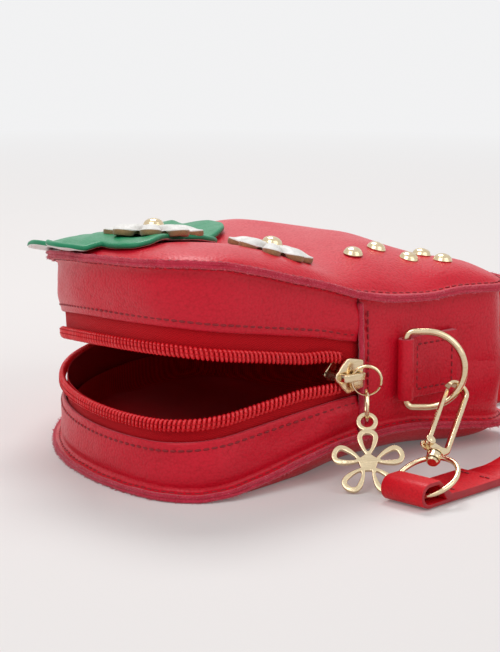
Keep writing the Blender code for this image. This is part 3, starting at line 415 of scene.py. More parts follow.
@dataclass(frozen=True)
class BagShape:
    """Outline, walls and fold of the bag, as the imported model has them."""

    length: float = 0.1475
    head: float = 0.0075
    shoulder_x: float = 0.048
    shoulder_y: float = 0.055
    shoulder_radius: float = 0.0235
    tip_radius: float = 0.013
    gusset: float = 0.045
    gusset_at_top: float = 0.050
    zip_share: float = 0.455
    swell: Triple = (0.004, 0.052, 0.022)
    pinch: Triple = (0.004, 0.108, 0.014)
    leather: float = 0.0011
    seam: float = 0.003
    seam_bend: float = 0.0012
    gap: float = 0.0003
    back_dome: float = 0.0115
    front_dome: float = 0.008
    crown_x: float = 0.056
    rise: Pair = (0.040, 0.096)
    droop: Triple = (0.0055, 0.102, 0.142)
    zip_end_x: float = 0.0920
    coil_thick: float = 0.0022
    zip_edges: Pair = (0.0074, 0.0090)
    slider_length: float = 0.0112
    slider_setback: float = 0.0062
    fold_degrees: float = 16.5
    fold_band: float = 0.030
    fold_far: float = 0.035
    wall_lean: float = 4.0

    def __post_init__(self) -> None:
        """Works out the arcs of the outline and the fold's axes."""
        keep = object.__setattr__
        across, apart = self.shoulder_y, self.length - self.tip_radius - self.shoulder_x
        top = (self.shoulder_x ** 2 + across ** 2 - self.shoulder_radius ** 2) / (
            2 * (self.shoulder_x - self.shoulder_radius))
        span = math.atan2(across, top - self.shoulder_x)
        centres, radii = math.hypot(apart, across), self.shoulder_radius - self.tip_radius
        slope = math.atan2(across, apart) + math.asin(radii / centres)
        keep(self, "top_radius", top)
        keep(self, "top_span", span)
        keep(self, "slope", slope)
        keep(self, "side_turn", math.pi / 2 + slope)
        keep(self, "top_run", top * span)
        keep(self, "side_start", self.top_run + self.shoulder_radius * (self.side_turn - span))
        keep(self, "tip_start", self.side_start + math.sqrt(centres ** 2 - radii ** 2))
        keep(self, "half_run", self.tip_start + self.tip_radius * (math.pi - self.side_turn))
        keep(self, "chain_out", -(self.seam + self.leather) + self.coil_thick / 2)
        keep(self, "zip_end", self.side_at(self.zip_end_x))
        start = self.wall(self.zip_end, self.chain_out, self.zip_share)
        axis = (self.wall(-self.fold_far, self.chain_out, self.zip_share) - start).normalized()
        side = Z_AXIS.cross(axis).normalized()
        keep(self, "fold_start", start)
        keep(self, "fold_axis", axis)
        keep(self, "fold_side", side)
        keep(self, "fold_up", axis.cross(side).normalized())

    def rim(self, along: float) -> tuple[float, float, float, float]:
        """Point and outward normal of the outline.

        Args:
            along: length from the top; the near side is positive.

        Returns:
            x, y and the normal's x and y.
        """
        side, run = (-1 if along >= 0 else 1), abs(along)
        shoulder, tip = (self.shoulder_x, self.shoulder_y), (self.length - self.tip_radius, 0)
        if run < self.top_run:
            turn, centre, radius, past = run / self.top_radius, (self.top_radius, 0), self.top_radius, 0
        elif run < self.side_start:
            turn = self.top_span + (run - self.top_run) / self.shoulder_radius
            centre, radius, past = shoulder, self.shoulder_radius, 0
        elif run < self.tip_start:
            turn, centre, radius, past = self.side_turn, shoulder, self.shoulder_radius, run - self.side_start
        else:
            turn = self.side_turn + (run - self.tip_start) / self.tip_radius
            centre, radius, past = tip, self.tip_radius, 0
        nx, ny = -math.cos(turn), math.sin(turn)
        x = centre[0] + radius * nx + past * ny
        return x - self.head, side * (centre[1] + radius * ny - past * nx), nx, side * ny

    def side_at(self, x: float) -> float:
        """Length along the outline at which the straight side reaches x."""
        start_x = self.shoulder_x + self.shoulder_radius * math.sin(self.slope)
        return self.side_start + (x + self.head - start_x) / math.cos(self.slope)

    def back_seam(self, x: float) -> float:
        """Height of the back seam."""
        rise = smooth((x - self.rise[0]) / (self.rise[1] - self.rise[0]))
        droop = smooth((x - self.droop[1]) / (self.droop[2] - self.droop[1]))
        return self.leather + (self.back_dome - self.leather) * rise - self.droop[0] * droop

    def gusset_height(self, x: float) -> float:
        """Distance between the seams.

        Args:
            x: place from top to tip.

        Returns:
            The height.
        """
        rise = smooth((x - self.rise[0]) / (self.rise[1] - self.rise[0]))
        swell = self.swell[0] * math.exp(-((x - self.swell[1]) / self.swell[2]) ** 2)
        pinch = self.pinch[0] * math.exp(-((x - self.pinch[1]) / self.pinch[2]) ** 2)
        return self.gusset_at_top + (self.gusset - self.gusset_at_top) * rise + swell - pinch

    def wall(self, along: float, out: float, share: float, rise: float = 0.0) -> Point:
        """A point of the closed bag.

        Args:
            along: length along the outline.
            out: distance out of the outline.
            share: share of the gusset's height.
            rise: height above that.

        Returns:
            The point.
        """
        x, y, nx, ny = self.rim(self.wrapped(along))
        x, y = x + nx * out, y + ny * out
        return Vector((x, y, self.back_seam(x) + share * self.gusset_height(x) + rise))

    def wrapped(self, along: float) -> float:
        """Lengths past the tip run back along the other side."""
        run = 2 * self.half_run
        return (along + self.half_run) % run - self.half_run

    def fold(self, point: Point) -> Point:
        """Lifts a point of the closed front about the fold line; walls stay upright.

        Args:
            point: a point of the closed bag.

        Returns:
            The point as the photograph shows it.
        """
        away = point - self.fold_start
        share = smooth(away.dot(self.fold_side) / self.fold_band + 0.5)
        up = self.fold_up * away.dot(self.fold_up)
        turn = Matrix.Rotation(math.radians(self.fold_degrees) * share, 3, self.fold_axis)
        lean = Matrix.Rotation(math.radians(-self.wall_lean) * share, 3, self.fold_axis)
        return self.fold_start + turn @ (away - up) + lean @ up

    def crowned(self, along: float, inset: float, share: float) -> Pair:
        """A plan point of a panel, from the foot of its seam to the crown."""
        x, y, nx, ny = self.rim(self.wrapped(along))
        x, y = x - nx * inset, y - ny * inset
        return x + (self.crown_x - x) * share, y * (1 - share)

    def domed(self, share: float) -> float:
        """Height share of a crowned panel at a share of the way to its crown."""
        return 1 - math.exp(-5.15 * max(share, 0) ** 0.9)

    def front_point(self, along: float, inset: float, share: float, drop: float = 0.0) -> Point:
        """A point of the front panel's face.

        Args:
            along: length along the outline.
            inset: distance in from the raw edge.
            share: share of the way from there to the crown.
            drop: depth under the face.

        Returns:
            The folded point.
        """
        x, y = self.crowned(along, inset, share)
        z = self.back_seam(x) + self.gusset_height(x) + self.leather + self.front_dome * self.domed(share)
        return self.fold(Vector((x, y, z + self.ripple(x, y, share) - drop)))

    def back_point(self, along: float, inset: float, share: float, lift: float = 0.0) -> Point:
        """A point of the back panel's face, which rests on the floor.

        Args:
            along: length along the outline.
            inset: distance in from the raw edge.
            share: share of the way from there to the crown.
            lift: height over the face.

        Returns:
            The point.
        """
        x, y = self.crowned(along, inset, share)
        z = self.back_seam(x) - self.leather - self.back_dome * self.domed(share)
        return Vector((x, y, max(z - self.ripple(x, y, share) / 2, 0.0) + lift))

    def ripple(self, x: float, y: float, share: float) -> float:
        """Slight unevenness of a crowned panel, nil at its seam and over its crown."""
        amount = smooth(share / 0.08) * (1 - smooth(share / 0.8))
        return amount * 0.0011 * noise.noise(Vector((x * 55, y * 55, 2.7)))

    def panel_share(self, x: float, y: float) -> Pair:
        """Length along the outline and share to the crown of a plan point of a panel.

        Args:
            x: place from top to tip.
            y: place across.

        Returns:
            The length and the share.
        """
        away = Vector((x - self.crown_x, y))
        if away.length < self.gap:
            return 0.0, 1.0
        sign, low, high = (1 if y < 0 else -1), 0.0, self.half_run
        for _ in range(30):
            middle = (low + high) / 2
            px, py = self.crowned(sign * middle, self.seam, 0)
            ahead = math.atan2(abs(py), px - self.crown_x) > math.atan2(abs(y), x - self.crown_x)
            low, high = (middle, high) if ahead else (low, middle)
        px, py = self.crowned(sign * low, self.seam, 0)
        return sign * low, 1 - away.length / math.hypot(px - self.crown_x, py)

    def on_panel(self, x: float, y: float, lift: float = 0.0) -> Point:
        """A point over the front panel's face at a plan point."""
        share = max(self.panel_share(x, y)[1], 0.0)
        z = self.back_seam(x) + self.gusset_height(x) + self.leather + self.front_dome * self.domed(share)
        return self.fold(Vector((x, y, z + self.ripple(x, y, share) + lift)))

    def chain_frame(self, along: float, out: float) -> Matrix:
        """Axes on the wall at the zip: X along the chain towards the tip, Y into the bag, Z up.

        Args:
            along: length along the outline.
            out: distance out of it.

        Returns:
            The axes.
        """
        _, _, nx, ny = self.rim(along)
        side = 1 if along >= 0 else -1
        turn = Matrix((Vector((-ny, nx, 0)) * side, Vector((-nx, -ny, 0)), Z_AXIS)).transposed()
        return Matrix.Translation(self.wall(along, out, self.zip_share)) @ turn.to_4x4()


SHAPE = BagShape()
MIDDLE = Vector((SHAPE.crown_x, 0, (SHAPE.gusset + SHAPE.back_dome) / 2))


# Workshop


def shown(name: str, data: bpy.types.ID) -> Piece:
    """Puts new data into the scene as an object."""
    made = bpy.data.objects.new(name, data)
    bpy.context.scene.collection.objects.link(made)
    return made


def axes(x: Point, y: Point, z: Point) -> Matrix:
    """Turn whose columns are three directions."""
    return Matrix((x, y, z)).transposed().to_4x4()


class Workshop:
    """Ways of making, dressing and hanging pieces that every sub-assembly shares."""

    def __init__(self, finishes: Finishes) -> None:
        """Keeps the finishes."""
        self.finishes = finishes

    def piece(self, name: str, bm: Solid, materials: Sequence[Paint], slot: Slot,
              sharp: float = 40.0) -> Piece:
        """Turns a bmesh into a shown piece.

        Args:
            name: the piece's name.
            bm: the shape; it is freed.
            materials: its finishes, by material index.
            slot: not used.
            sharp: edges over this angle stay sharp, in degrees.

        Returns:
            The object, at the origin.
        """
        data = bpy.data.meshes.new(name)
        bm.to_mesh(data)
        bm.free()
        data.shade_smooth()
        if sharp:
            data.set_sharp_from_angle(angle=math.radians(sharp))
        for material in materials:
            data.materials.append(material)
        made = shown(name, data)
        return made

    def hung(self, piece: Piece, carrier: str, *nodes: str) -> Piece:
        """Rides a piece on a body, for the nodes that it replaces, and reports it."""
        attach(piece, carrier)
        return self.told(piece, *nodes)

    def bent(self, piece: Piece, *nodes: str) -> Piece:
        """Bakes a piece, already folded where it was made, into world space, for the nodes that it replaces.

        Args:
            piece: the piece.
            nodes: the nodes that it replaces.

        Returns:
            The same piece.
        """
        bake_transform(piece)
        return self.told(piece, *nodes)

    def placed(self, piece: Piece, front: bool, *nodes: str) -> Piece:
        """Bakes a piece of the front, already folded, or rides one of the back on the bag."""
        return self.bent(piece, *nodes) if front else self.hung(piece, Carrier.BAG.value, *nodes)

    def told(self, piece: Piece, *nodes: str) -> Piece:
        """Reports a piece, after it has taken the place of its nodes.

        Args:
            piece: the piece.
            nodes: the nodes that it replaces.

        Returns:
            The same piece.
        """
        if nodes:
            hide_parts(*nodes)
        LOG.info("piece %s for %s", piece.name, ", ".join(nodes) or "detail")
        return piece

    def facing(self, bm: Solid, inside: Point) -> None:
        """Makes the faces of an open sheet point away from a point.

        Args:
            bm: the sheet.
            inside: a point on its inner side.
        """
        bmesh.ops.recalc_face_normals(bm, faces=bm.faces)
        total = sum(f.normal.dot(f.calc_center_median() - inside) * f.calc_area() for f in bm.faces)
        if total < 0:
            bmesh.ops.reverse_faces(bm, faces=bm.faces[:])

    def walled(self, piece: Piece, thick: float, levels: int = 1, rim: int = 0,
               inner: int = 0, even: bool = True, crisp: float = 0.0) -> Piece:
        """Gives a sheet its thickness and rounds it.

        Args:
            piece: the open sheet, whose faces point outwards.
            thick: its thickness, inwards.
            levels: subdivision levels.
            rim: material number of its cut edge.
            inner: material number of its inner face.
            even: whether the thickness is kept round bends.
            crisp: how sharp the cut edge is, from 0 to 1.

        Returns:
            The piece, with the modifiers applied.
        """
        shell = piece.modifiers.new("thickness", "SOLIDIFY")
        shell.thickness, shell.offset = thick, -1
        shell.use_even_offset, shell.use_rim = even, True
        shell.edge_crease_outer = shell.edge_crease_inner = crisp
        shell.material_offset_rim, shell.material_offset = rim, inner
        if levels:
            rounded = piece.modifiers.new("rounding", "SUBSURF")
            rounded.levels = rounded.render_levels = levels
        self.applied(piece)
        if crisp:
            piece.data.set_sharp_from_angle(angle=math.radians(60))
        return piece

    def applied(self, piece: Piece) -> Piece:
        """Replaces a piece's mesh by the one that its modifiers make.

        Args:
            piece: the piece, with its modifiers.

        Returns:
            The same piece without them.
        """
        ready = piece.evaluated_get(bpy.context.evaluated_depsgraph_get())
        data = bpy.data.meshes.new_from_object(ready)
        data.name = piece.name
        piece.modifiers.clear()
        piece.data = data
        return piece

    def sheet(self, at: Wall, stations: Sequence[float],
              rows: Sequence[Row]) -> Solid:
        """A grid laid over a wall, with its UV map in metres.

        Args:
            at: the place of a station and a row.
            stations: one number for each column.
            rows: one row of the wall for each line of the grid.

        Returns:
            The open sheet, facing outwards.
        """
        bm = bmesh.new()
        bmesh.ops.create_grid(bm, x_segments=len(stations) - 1, y_segments=len(rows) - 1, size=1)
        spot = {}
        for v in bm.verts:
            column = round((v.co.x + 1) / 2 * (len(stations) - 1))
            line = round((v.co.y + 1) / 2 * (len(rows) - 1))
            v.co = at(stations[column], rows[line])
            spot[v.index] = (column, line)
        runs = [0.0]
        middle = stations[len(stations) // 2]
        for a, b in zip(rows, rows[1:]):
            runs.append(runs[-1] + (at(middle, b) - at(middle, a)).length)
        layer = bm.loops.layers.uv.new("cloth")
        for face in bm.faces:
            for loop in face.loops:
                column, line = spot[loop.vert.index]
                loop[layer].uv = (stations[column], runs[line])
        self.facing(bm, MIDDLE)
        return bm

    def dome(self, rings: Sequence[Callable[[float], Point]]) -> Solid:
        """A disc reshaped: its rim is the first ring and its middle the last.

        Args:
            rings: each ring's place for a length along the outline.

        Returns:
            The open sheet, facing outwards.
        """
        count = len(rings) - 1
        bm = disc(count, lambda turn, out: rings[round(count * (1 - out))](turn / math.pi * SHAPE.half_run))
        layer = bm.loops.layers.uv.new("cloth")
        for face in bm.faces:
            for loop in face.loops:
                loop[layer].uv = loop.vert.co.xy
        self.facing(bm, MIDDLE)
        return bm

    def swept(self, sections: Sequence[Sequence[Point]], closed: bool = False) -> Solid:
        """Extrudes a ring of points from section to section.

        Args:
            sections: the ring's points at each place.
            closed: whether the last section runs on into the first.

        Returns:
            The closed body.
        """
        bm = bmesh.new()
        around, along = len(sections[0]), len(sections) - (0 if closed else 1)
        bmesh.ops.create_grid(bm, x_segments=along, y_segments=around, size=1)
        for v in bm.verts:
            column, line = round((v.co.x + 1) / 2 * along), round((v.co.y + 1) / 2 * around)
            v.co = sections[column % len(sections)][line % around]
        bmesh.ops.remove_doubles(bm, verts=[v for v in bm.verts if v.is_boundary], dist=NEAR_MESH)
        bmesh.ops.holes_fill(bm, edges=[e for e in bm.edges if e.is_boundary])
        bmesh.ops.recalc_face_normals(bm, faces=bm.faces)
        return bm

    def wire(self, line: Sequence[Point], radius: float, sides: int = 8, closed: bool = False) -> Solid:
        """A round wire through points.

        Args:
            line: the middle line.
            radius: the wire's radius.
            sides: faces round it.
            closed: whether it is a loop.

        Returns:
            The closed body.
        """
        count, sections = len(line), []
        lean = self.lean(line[1] - line[0])
        for i, place in enumerate(line):
            before = line[(i - 1) % count] if closed or i else place
            after = line[(i + 1) % count] if closed or i < count - 1 else place
            ahead = (after - before).normalized()
            lean = (lean - ahead * lean.dot(ahead)).normalized()
            up = ahead.cross(lean)
            sections.append([place + (lean * math.cos(a) + up * math.sin(a)) * radius
                             for a in (2 * math.pi * k / sides for k in range(sides))])
        return self.swept(sections, closed)

    def lean(self, ahead: Point) -> Point:
        """A direction square to another."""
        return ahead.cross(Z_AXIS if abs(ahead.normalized().z) < 0.9 else Vector((1, 0, 0))).normalized()

    def stitches(self, name: str, places: Sequence[tuple[Point, Point, Point]],
                 size: Triple = (0.0021, 0.0008, 0.0006)) -> Piece:
        """Short stitches of thread, sunk at their ends.

        Args:
            name: the piece's name.
            places: each stitch's middle, direction and surface normal.
            size: length, width and height.

        Returns:
            One object with every stitch.
        """
        base, spots = bmesh.new(), []
        bmesh.ops.create_uvsphere(base, u_segments=8, v_segments=4, radius=0.5,
                                  matrix=Matrix.Rotation(math.pi / 2, 4, "Y"))
        for middle, ahead, up in places:
            ahead = ahead.normalized()
            up = (up - ahead * up.dot(ahead)).normalized()
            turn = axes(ahead, up.cross(ahead), up)
            spots.append(Matrix.Translation(middle) @ turn @ Matrix.Diagonal((*size, 1)))
        return self.piece(name, stamped(base, spots), [self.finishes.thread], Slot.LEATHER, 0)

    def fuzz(self, name: str, places: Sequence[tuple[Point, Point, Point]], seed: int) -> Piece:
        """Short fibres that stand out of a raw edge.

        Args:
            name: the piece's name.
            places: each fibre's root, outward direction and the edge's direction.
            seed: start of its random draws.

        Returns:
            One object with every fibre.
        """
        draw = random.Random(seed)
        base, spots = bmesh.new(), []
        bmesh.ops.create_cone(base, cap_ends=True, segments=3, radius1=0.00012, radius2=0.00004, depth=1)
        for root, out, ahead in places:
            length = draw.uniform(0.0004, 0.0011)
            way = (out + ahead * draw.uniform(-0.9, 0.9) + Z_AXIS * draw.uniform(-0.5, 0.5)).normalized()
            turn = Z_AXIS.rotation_difference(way).to_matrix().to_4x4()
            tall = Matrix.Diagonal((1, 1, length, 1))
            spots.append(Matrix.Translation(root + way * length * 0.35) @ turn @ tall)
        return self.piece(name, stamped(base, spots), [self.finishes.fibre], Slot.LEATHER, 0)

    def copied(self, node: str, name: str, slot: Slot, materials: Sequence[Paint],
               bevel: float, segments: int = 3, flat: float = 4.0) -> Piece:
        """A node's own solid with its corners rounded.

        Args:
            node: the node to copy.
            name: the new piece's name.
            slot: the record's slot.
            materials: its finishes.
            bevel: width of the rounding.
            segments: faces across it.
            flat: facets within this angle are joined first, in degrees.

        Returns:
            The piece.
        """
        bm = bmesh.new()
        bm.from_mesh(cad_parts[node].data)
        bmesh.ops.remove_doubles(bm, verts=bm.verts, dist=NEAR_MESH)
        bmesh.ops.dissolve_limit(bm, angle_limit=math.radians(flat), verts=bm.verts, edges=bm.edges)
        for edge in bm.edges:
            edge.smooth = True
        made = self.piece(name, bm, materials, slot, 0)
        rounding = made.modifiers.new("rounding", "BEVEL")
        rounding.width, rounding.segments = bevel, segments
        rounding.limit_method, rounding.angle_limit = "ANGLE", math.radians(28)
        rounding.use_clamp_overlap, rounding.harden_normals = True, True
        self.applied(made)
        made.data.set_sharp_from_angle(angle=math.radians(50))
        return made


def disc(rings: int, at: Plan) -> Solid:
    """A disc of square cells in rings round its middle.

    Args:
        rings: how many rings.
        at: place of a turn, from -pi to pi, and of a share of the way out.

    Returns:
        The open sheet.
    """
    bm = bmesh.new()
    bmesh.ops.create_grid(bm, x_segments=2 * rings, y_segments=2 * rings, size=rings)
    for v in bm.verts:
        i, j = round(v.co.x), round(v.co.y)
        level = max(abs(i), abs(j))
        if i == level:
            side = j
        elif j == level:
            side = 2 * level - i
        else:
            side = 4 * level - j if i == -level else 6 * level + i
        turn = side / max(level, 1) * math.pi / 4
        v.co = at(turn - 2 * math.pi * (turn > math.pi), level / rings)
    return bm


def stamped(base: Solid, places: Sequence[Matrix]) -> Solid:
    """One shape repeated at many places; the base is freed.

    Args:
        base: the shape.
        places: one matrix for each copy.

    Returns:
        One bmesh with every copy.
    """
    base.verts.index_update()
    points = np.array([(*v.co, 1) for v in base.verts])
    faces = [[v.index for v in face.verts] for face in base.faces]
    spots = np.concatenate([points @ np.array(place).T for place in places])[:, :3]
    data = bpy.data.meshes.new("stamped")
    data.from_pydata(spots.tolist(), [], [[i + number * len(points) for i in face]
                                          for number in range(len(places)) for face in faces])
    base.clear()
    base.from_mesh(data)
    bpy.data.meshes.remove(data)
    return base


def spaced(start: float, end: float, step: float) -> list[float]:
    """Even lengths from start to end, about a step apart."""
    count = max(2, round(abs(end - start) / step))
    return [start + (end - start) * i / count for i in range(count + 1)]


def turned(points: Sequence[Triple], place: Matrix) -> list[Point]:
    """Points carried by a matrix."""
    return [place @ Vector(p) for p in points]


def circle(radius: float, count: int, start: float = 0.0, span: float = 2 * math.pi,
           closed: bool = True) -> list[Pair]:
    """Points on a circle or an arc.

    Args:
        radius: its radius.
        count: how many steps.
        start: first angle, in radians.
        span: angle that it covers.
        closed: leaves out the last point.

    Returns:
        The points in a plane.
    """
    angles = [start + span * i / count for i in range(count + (0 if closed else 1))]
    return [(radius * math.cos(a), radius * math.sin(a)) for a in angles]


def flipped(bm: Solid) -> Solid:
    """The far side's copy of a near shape.

    Args:
        bm: the near shape, which is kept.

    Returns:
        The copy, mirrored over the middle.
    """
    made = bm.copy()
    bmesh.ops.transform(made, matrix=Matrix.Diagonal((1, -1, 1, 1)), verts=made.verts)
    bmesh.ops.reverse_faces(made, faces=made.faces[:])
    return made


def merged(shapes: Sequence[Solid]) -> Solid:
    """Several shapes as one bmesh; the others are freed.

    Args:
        shapes: the shapes, which are used up.

    Returns:
        One bmesh with all of them.
    """
    holder = bpy.data.meshes.new("merged")
    whole = bmesh.new()
    for shape in shapes:
        shape.to_mesh(holder)
        whole.from_mesh(holder)
        shape.free()
    bpy.data.meshes.remove(holder)
    return whole


def plate(outlines: Sequence[Sequence[Pair]], thick: float, edge: float,
          place: Matrix = Matrix.Identity(4), steps: int = 3) -> Solid:
    """A flat plate with rounded edges, with holes where more than one outline is given.

    Args:
        outlines: the plate's outline and its holes, in X and Y.
        thick: its whole thickness.
        edge: radius of its edges.
        place: where it goes.
        steps: faces across a rounded edge.

    Returns:
        The closed shape.
    """
    curve = bpy.data.curves.new("plate", "CURVE")
    curve.dimensions, curve.fill_mode = "2D", "BOTH"
    curve.extrude, curve.bevel_depth, curve.offset = thick / 2 - edge, edge, -edge
    curve.bevel_resolution = steps
    for points in outlines:
        spline = curve.splines.new("POLY")
        spline.points.add(len(points) - 1)
        for p, (x, y) in zip(spline.points, points):
            p.co = (x, y, 0, 1)
        spline.use_cyclic_u = True
    holder = shown("plate", curve)
    data = bpy.data.meshes.new_from_object(holder.evaluated_get(bpy.context.evaluated_depsgraph_get()))
    bm = bmesh.new()
    bm.from_mesh(data)
    bmesh.ops.remove_doubles(bm, verts=bm.verts, dist=NEAR_MESH * 5)
    bmesh.ops.transform(bm, matrix=place, verts=bm.verts)
    bmesh.ops.recalc_face_normals(bm, faces=bm.faces)
    bpy.data.objects.remove(holder)
    bpy.data.curves.remove(curve)
    bpy.data.meshes.remove(data)
    return bm


def turned_part(profile: Sequence[Pair], place: Matrix, steps: int = 28) -> Solid:
    """A part turned on a lathe about its own Z.

    Args:
        profile: radius and height of each corner, from one end to the other.
        place: where it goes.
        steps: faces round it.

    Returns:
        The closed shape.
    """
    bm = bmesh.new()
    line = [bm.verts.new((radius, 0, height)) for radius, height in profile]
    edges = [bm.edges.new(pair) for pair in zip(line, line[1:])]
    bmesh.ops.spin(bm, geom=line + edges, cent=(0, 0, 0), axis=(0, 0, 1), angle=2 * math.pi, steps=steps,
                   use_merge=True)
    bmesh.ops.remove_doubles(bm, verts=bm.verts, dist=NEAR_MESH)
    bmesh.ops.transform(bm, matrix=place, verts=bm.verts)
    bmesh.ops.recalc_face_normals(bm, faces=bm.faces)
    return bm


# Strap


@dataclass
class Assembly:
    """A group of pieces made in one workshop."""

    shop: Workshop

    @property
    def looks(self) -> Finishes:
        """The shop's finishes."""
        return self.shop.finishes


@dataclass
class Strap(Assembly):
    """Long crossbody strap: flat at both ends, on its edge in loose folds behind the bag."""

    hardware: "Hooks"
    width: float = 0.016
    thick: float = 0.0012
    fold_back: float = 0.034
    loop: float = 0.0026
    loop_long: float = 0.0045
    tack: Triple = (0.0019, 0.0008, 0.0006)
    stations: int = 240
    route: tuple[Pair, ...] = (
        (0.156, -0.030), (0.173, 0.004), (0.178, 0.050), (0.174, 0.100), (0.166, 0.145), (0.146, 0.172),
        (0.108, 0.178), (0.062, 0.178), (0.026, 0.178), (0.012, 0.167), (0.026, 0.156), (0.062, 0.156),
        (0.104, 0.156), (0.134, 0.154), (0.144, 0.144), (0.134, 0.134), (0.104, 0.132), (0.062, 0.132),
        (0.026, 0.132), (0.012, 0.121), (0.026, 0.110), (0.066, 0.109), (0.112, 0.108), (0.142, 0.104),
        (0.155, 0.086), (0.154, 0.060),
    )

    def line(self) -> tuple[list[Point], Point]:
        """Middle line of the strap on the floor, and the direction in which it starts."""
        start, run = self.hardware.strap_start()
        start = start + run * (self.fold_back - SHAPE.gap)
        lead = [start + run * self.width * share for share in (0, 0.5, 1)]
        points = lead + [Vector((x, y, 0)) for x, y in self.route] + [MIRROR @ p for p in lead[::-1]]
        made, last = [], len(points) - 1
        for i in range(self.stations + 1):
            place = i / self.stations * last
            k = min(int(place), last - 1)
            u = place - k
            a, b, c, d = (points[min(max(k + n, 0), last)] for n in (-1, 0, 1, 2))
            slope, bend, twist = c - a, a * 2 - b * 5 + c * 4 - d, b * 3 - a - c * 3 + d
            made.append((b * 2 + slope * u + bend * u ** 2 + twist * u ** 3) / 2)
        return made, run

    def build(self) -> None:
        line, run = self.line()
        sections, middles = [], []
        rounding = self.thick * 0.42
        for i, place in enumerate(line):
            ahead = (line[min(i + 1, self.stations)] - line[max(i - 1, 0)]).normalized()
            if i in (0, self.stations):
                ahead = run if i == 0 else -(MIRROR @ run)
            share = smooth(min(i, self.stations - i) / (self.stations / 8))
            aside = Vector((ahead.y, -ahead.x, 0)).normalized()
            flat, raised = math.cos(share * math.pi / 2), math.sin(share * math.pi / 2)
            across, up = aside * flat + Z_AXIS * raised, Z_AXIS * flat - aside * raised
            half, low = self.width / 2, self.thick / 2
            centre = Vector((place.x, place.y, across.z * half + abs(up.z) * low + SHAPE.gap))
            middles.append(centre)
            flat_end, low_end = half - rounding, low - rounding
            corners = ((flat_end, low), (half, low_end), (half, -low_end), (flat_end, -low),
                       (-flat_end, -low), (-half, -low_end), (-half, low_end), (-flat_end, low))
            sections.append([centre + across * a + up * b for a, b in corners])
        bm = self.shop.swept(sections)
        self.edge_faces(bm, self.width)
        strap = self.shop.piece("crossbody_strap", bm, [self.looks.strap, self.looks.strap_edge],
                                Slot.STRAP, 50)
        self.shop.hung(strap, Carrier.BAG.value, "strap")
        ends = self.ends(run)

    def edge_faces(self, bm: Solid, width: float) -> None:
        """Gives narrow long faces at the strap's edges the painted finish.

        Args:
            bm: the strap's shape.
            width: its width.
        """
        for face in bm.faces:
            sides = sorted(e.calc_length() for e in face.edges)
            if len(face.edges) == 4 and sides[0] < self.thick and sides[-1] < width / 2:
                face.material_index = 1

    def ends(self, run: Point) -> list[Piece]:
        """Makes both ends: folded round the eye, tacked to themselves.

        Args:
            run: direction in which the near end leaves the eye.

        Returns:
            The two folded ends and their tacking stitches.
        """
        centre, _ = self.hardware.strap_start()
        turn = axes(run, Z_AXIS, run.cross(Z_AXIS))
        place = Matrix.Translation(centre) @ turn
        outer, long, thick, tail = self.loop + self.thick, self.loop_long, self.thick, self.fold_back
        edge = circle(outer, 20, math.pi / 2, math.pi, False)
        face = 2 * thick - outer
        edge += [(tail, -outer), (tail, face - 0.0001), (tail - 0.0006, face),
                 (2 * long + thick + 0.004, face), (2 * long + thick, face + 0.0002),
                 (long + 0.0022, outer * 0.45), (long, outer)]
        hole = circle(self.loop, 18, math.pi / 2, math.pi, False)
        hole += [(2 * long - thick, -self.loop), (long - thick / 2, self.loop)]
        near = plate([edge, hole], self.width, 0.00035, place, 2)
        for side in near.faces:
            if abs(side.normal.dot(run.cross(Z_AXIS))) > 0.5:
                side.material_index = 1
        far = flipped(near)
        finishes = [self.looks.strap, self.looks.strap_edge]
        made = []
        for bm, side in ((near, "near"), (far, "far")):
            end = self.shop.piece(f"strap_end_fold_{side}", bm, finishes, Slot.STRAP, 35)
            made.append(self.shop.hung(end, f"eye_{side}", f"strap_end_{side}"))
        top = face + 0.0001
        marks = []
        for along in (2 * long + thick + 0.0035, tail - 0.0035):
            for half in (-0.62, -0.36, 0.36, 0.62):
                spot = place @ Vector((along, top, half * self.width / 2))
                marks.append((spot, run.cross(Z_AXIS), Z_AXIS))
        for side, flip in (("near", Matrix.Identity(3)), ("far", MIRROR)):
            spots = [(flip @ a, flip @ b, c) for a, b, c in marks]
            tack = self.shop.stitches(f"strap_end_tacks_{side}", spots, self.tack)
            made.append(self.shop.hung(tack, f"eye_{side}"))
        return made


# Leather body


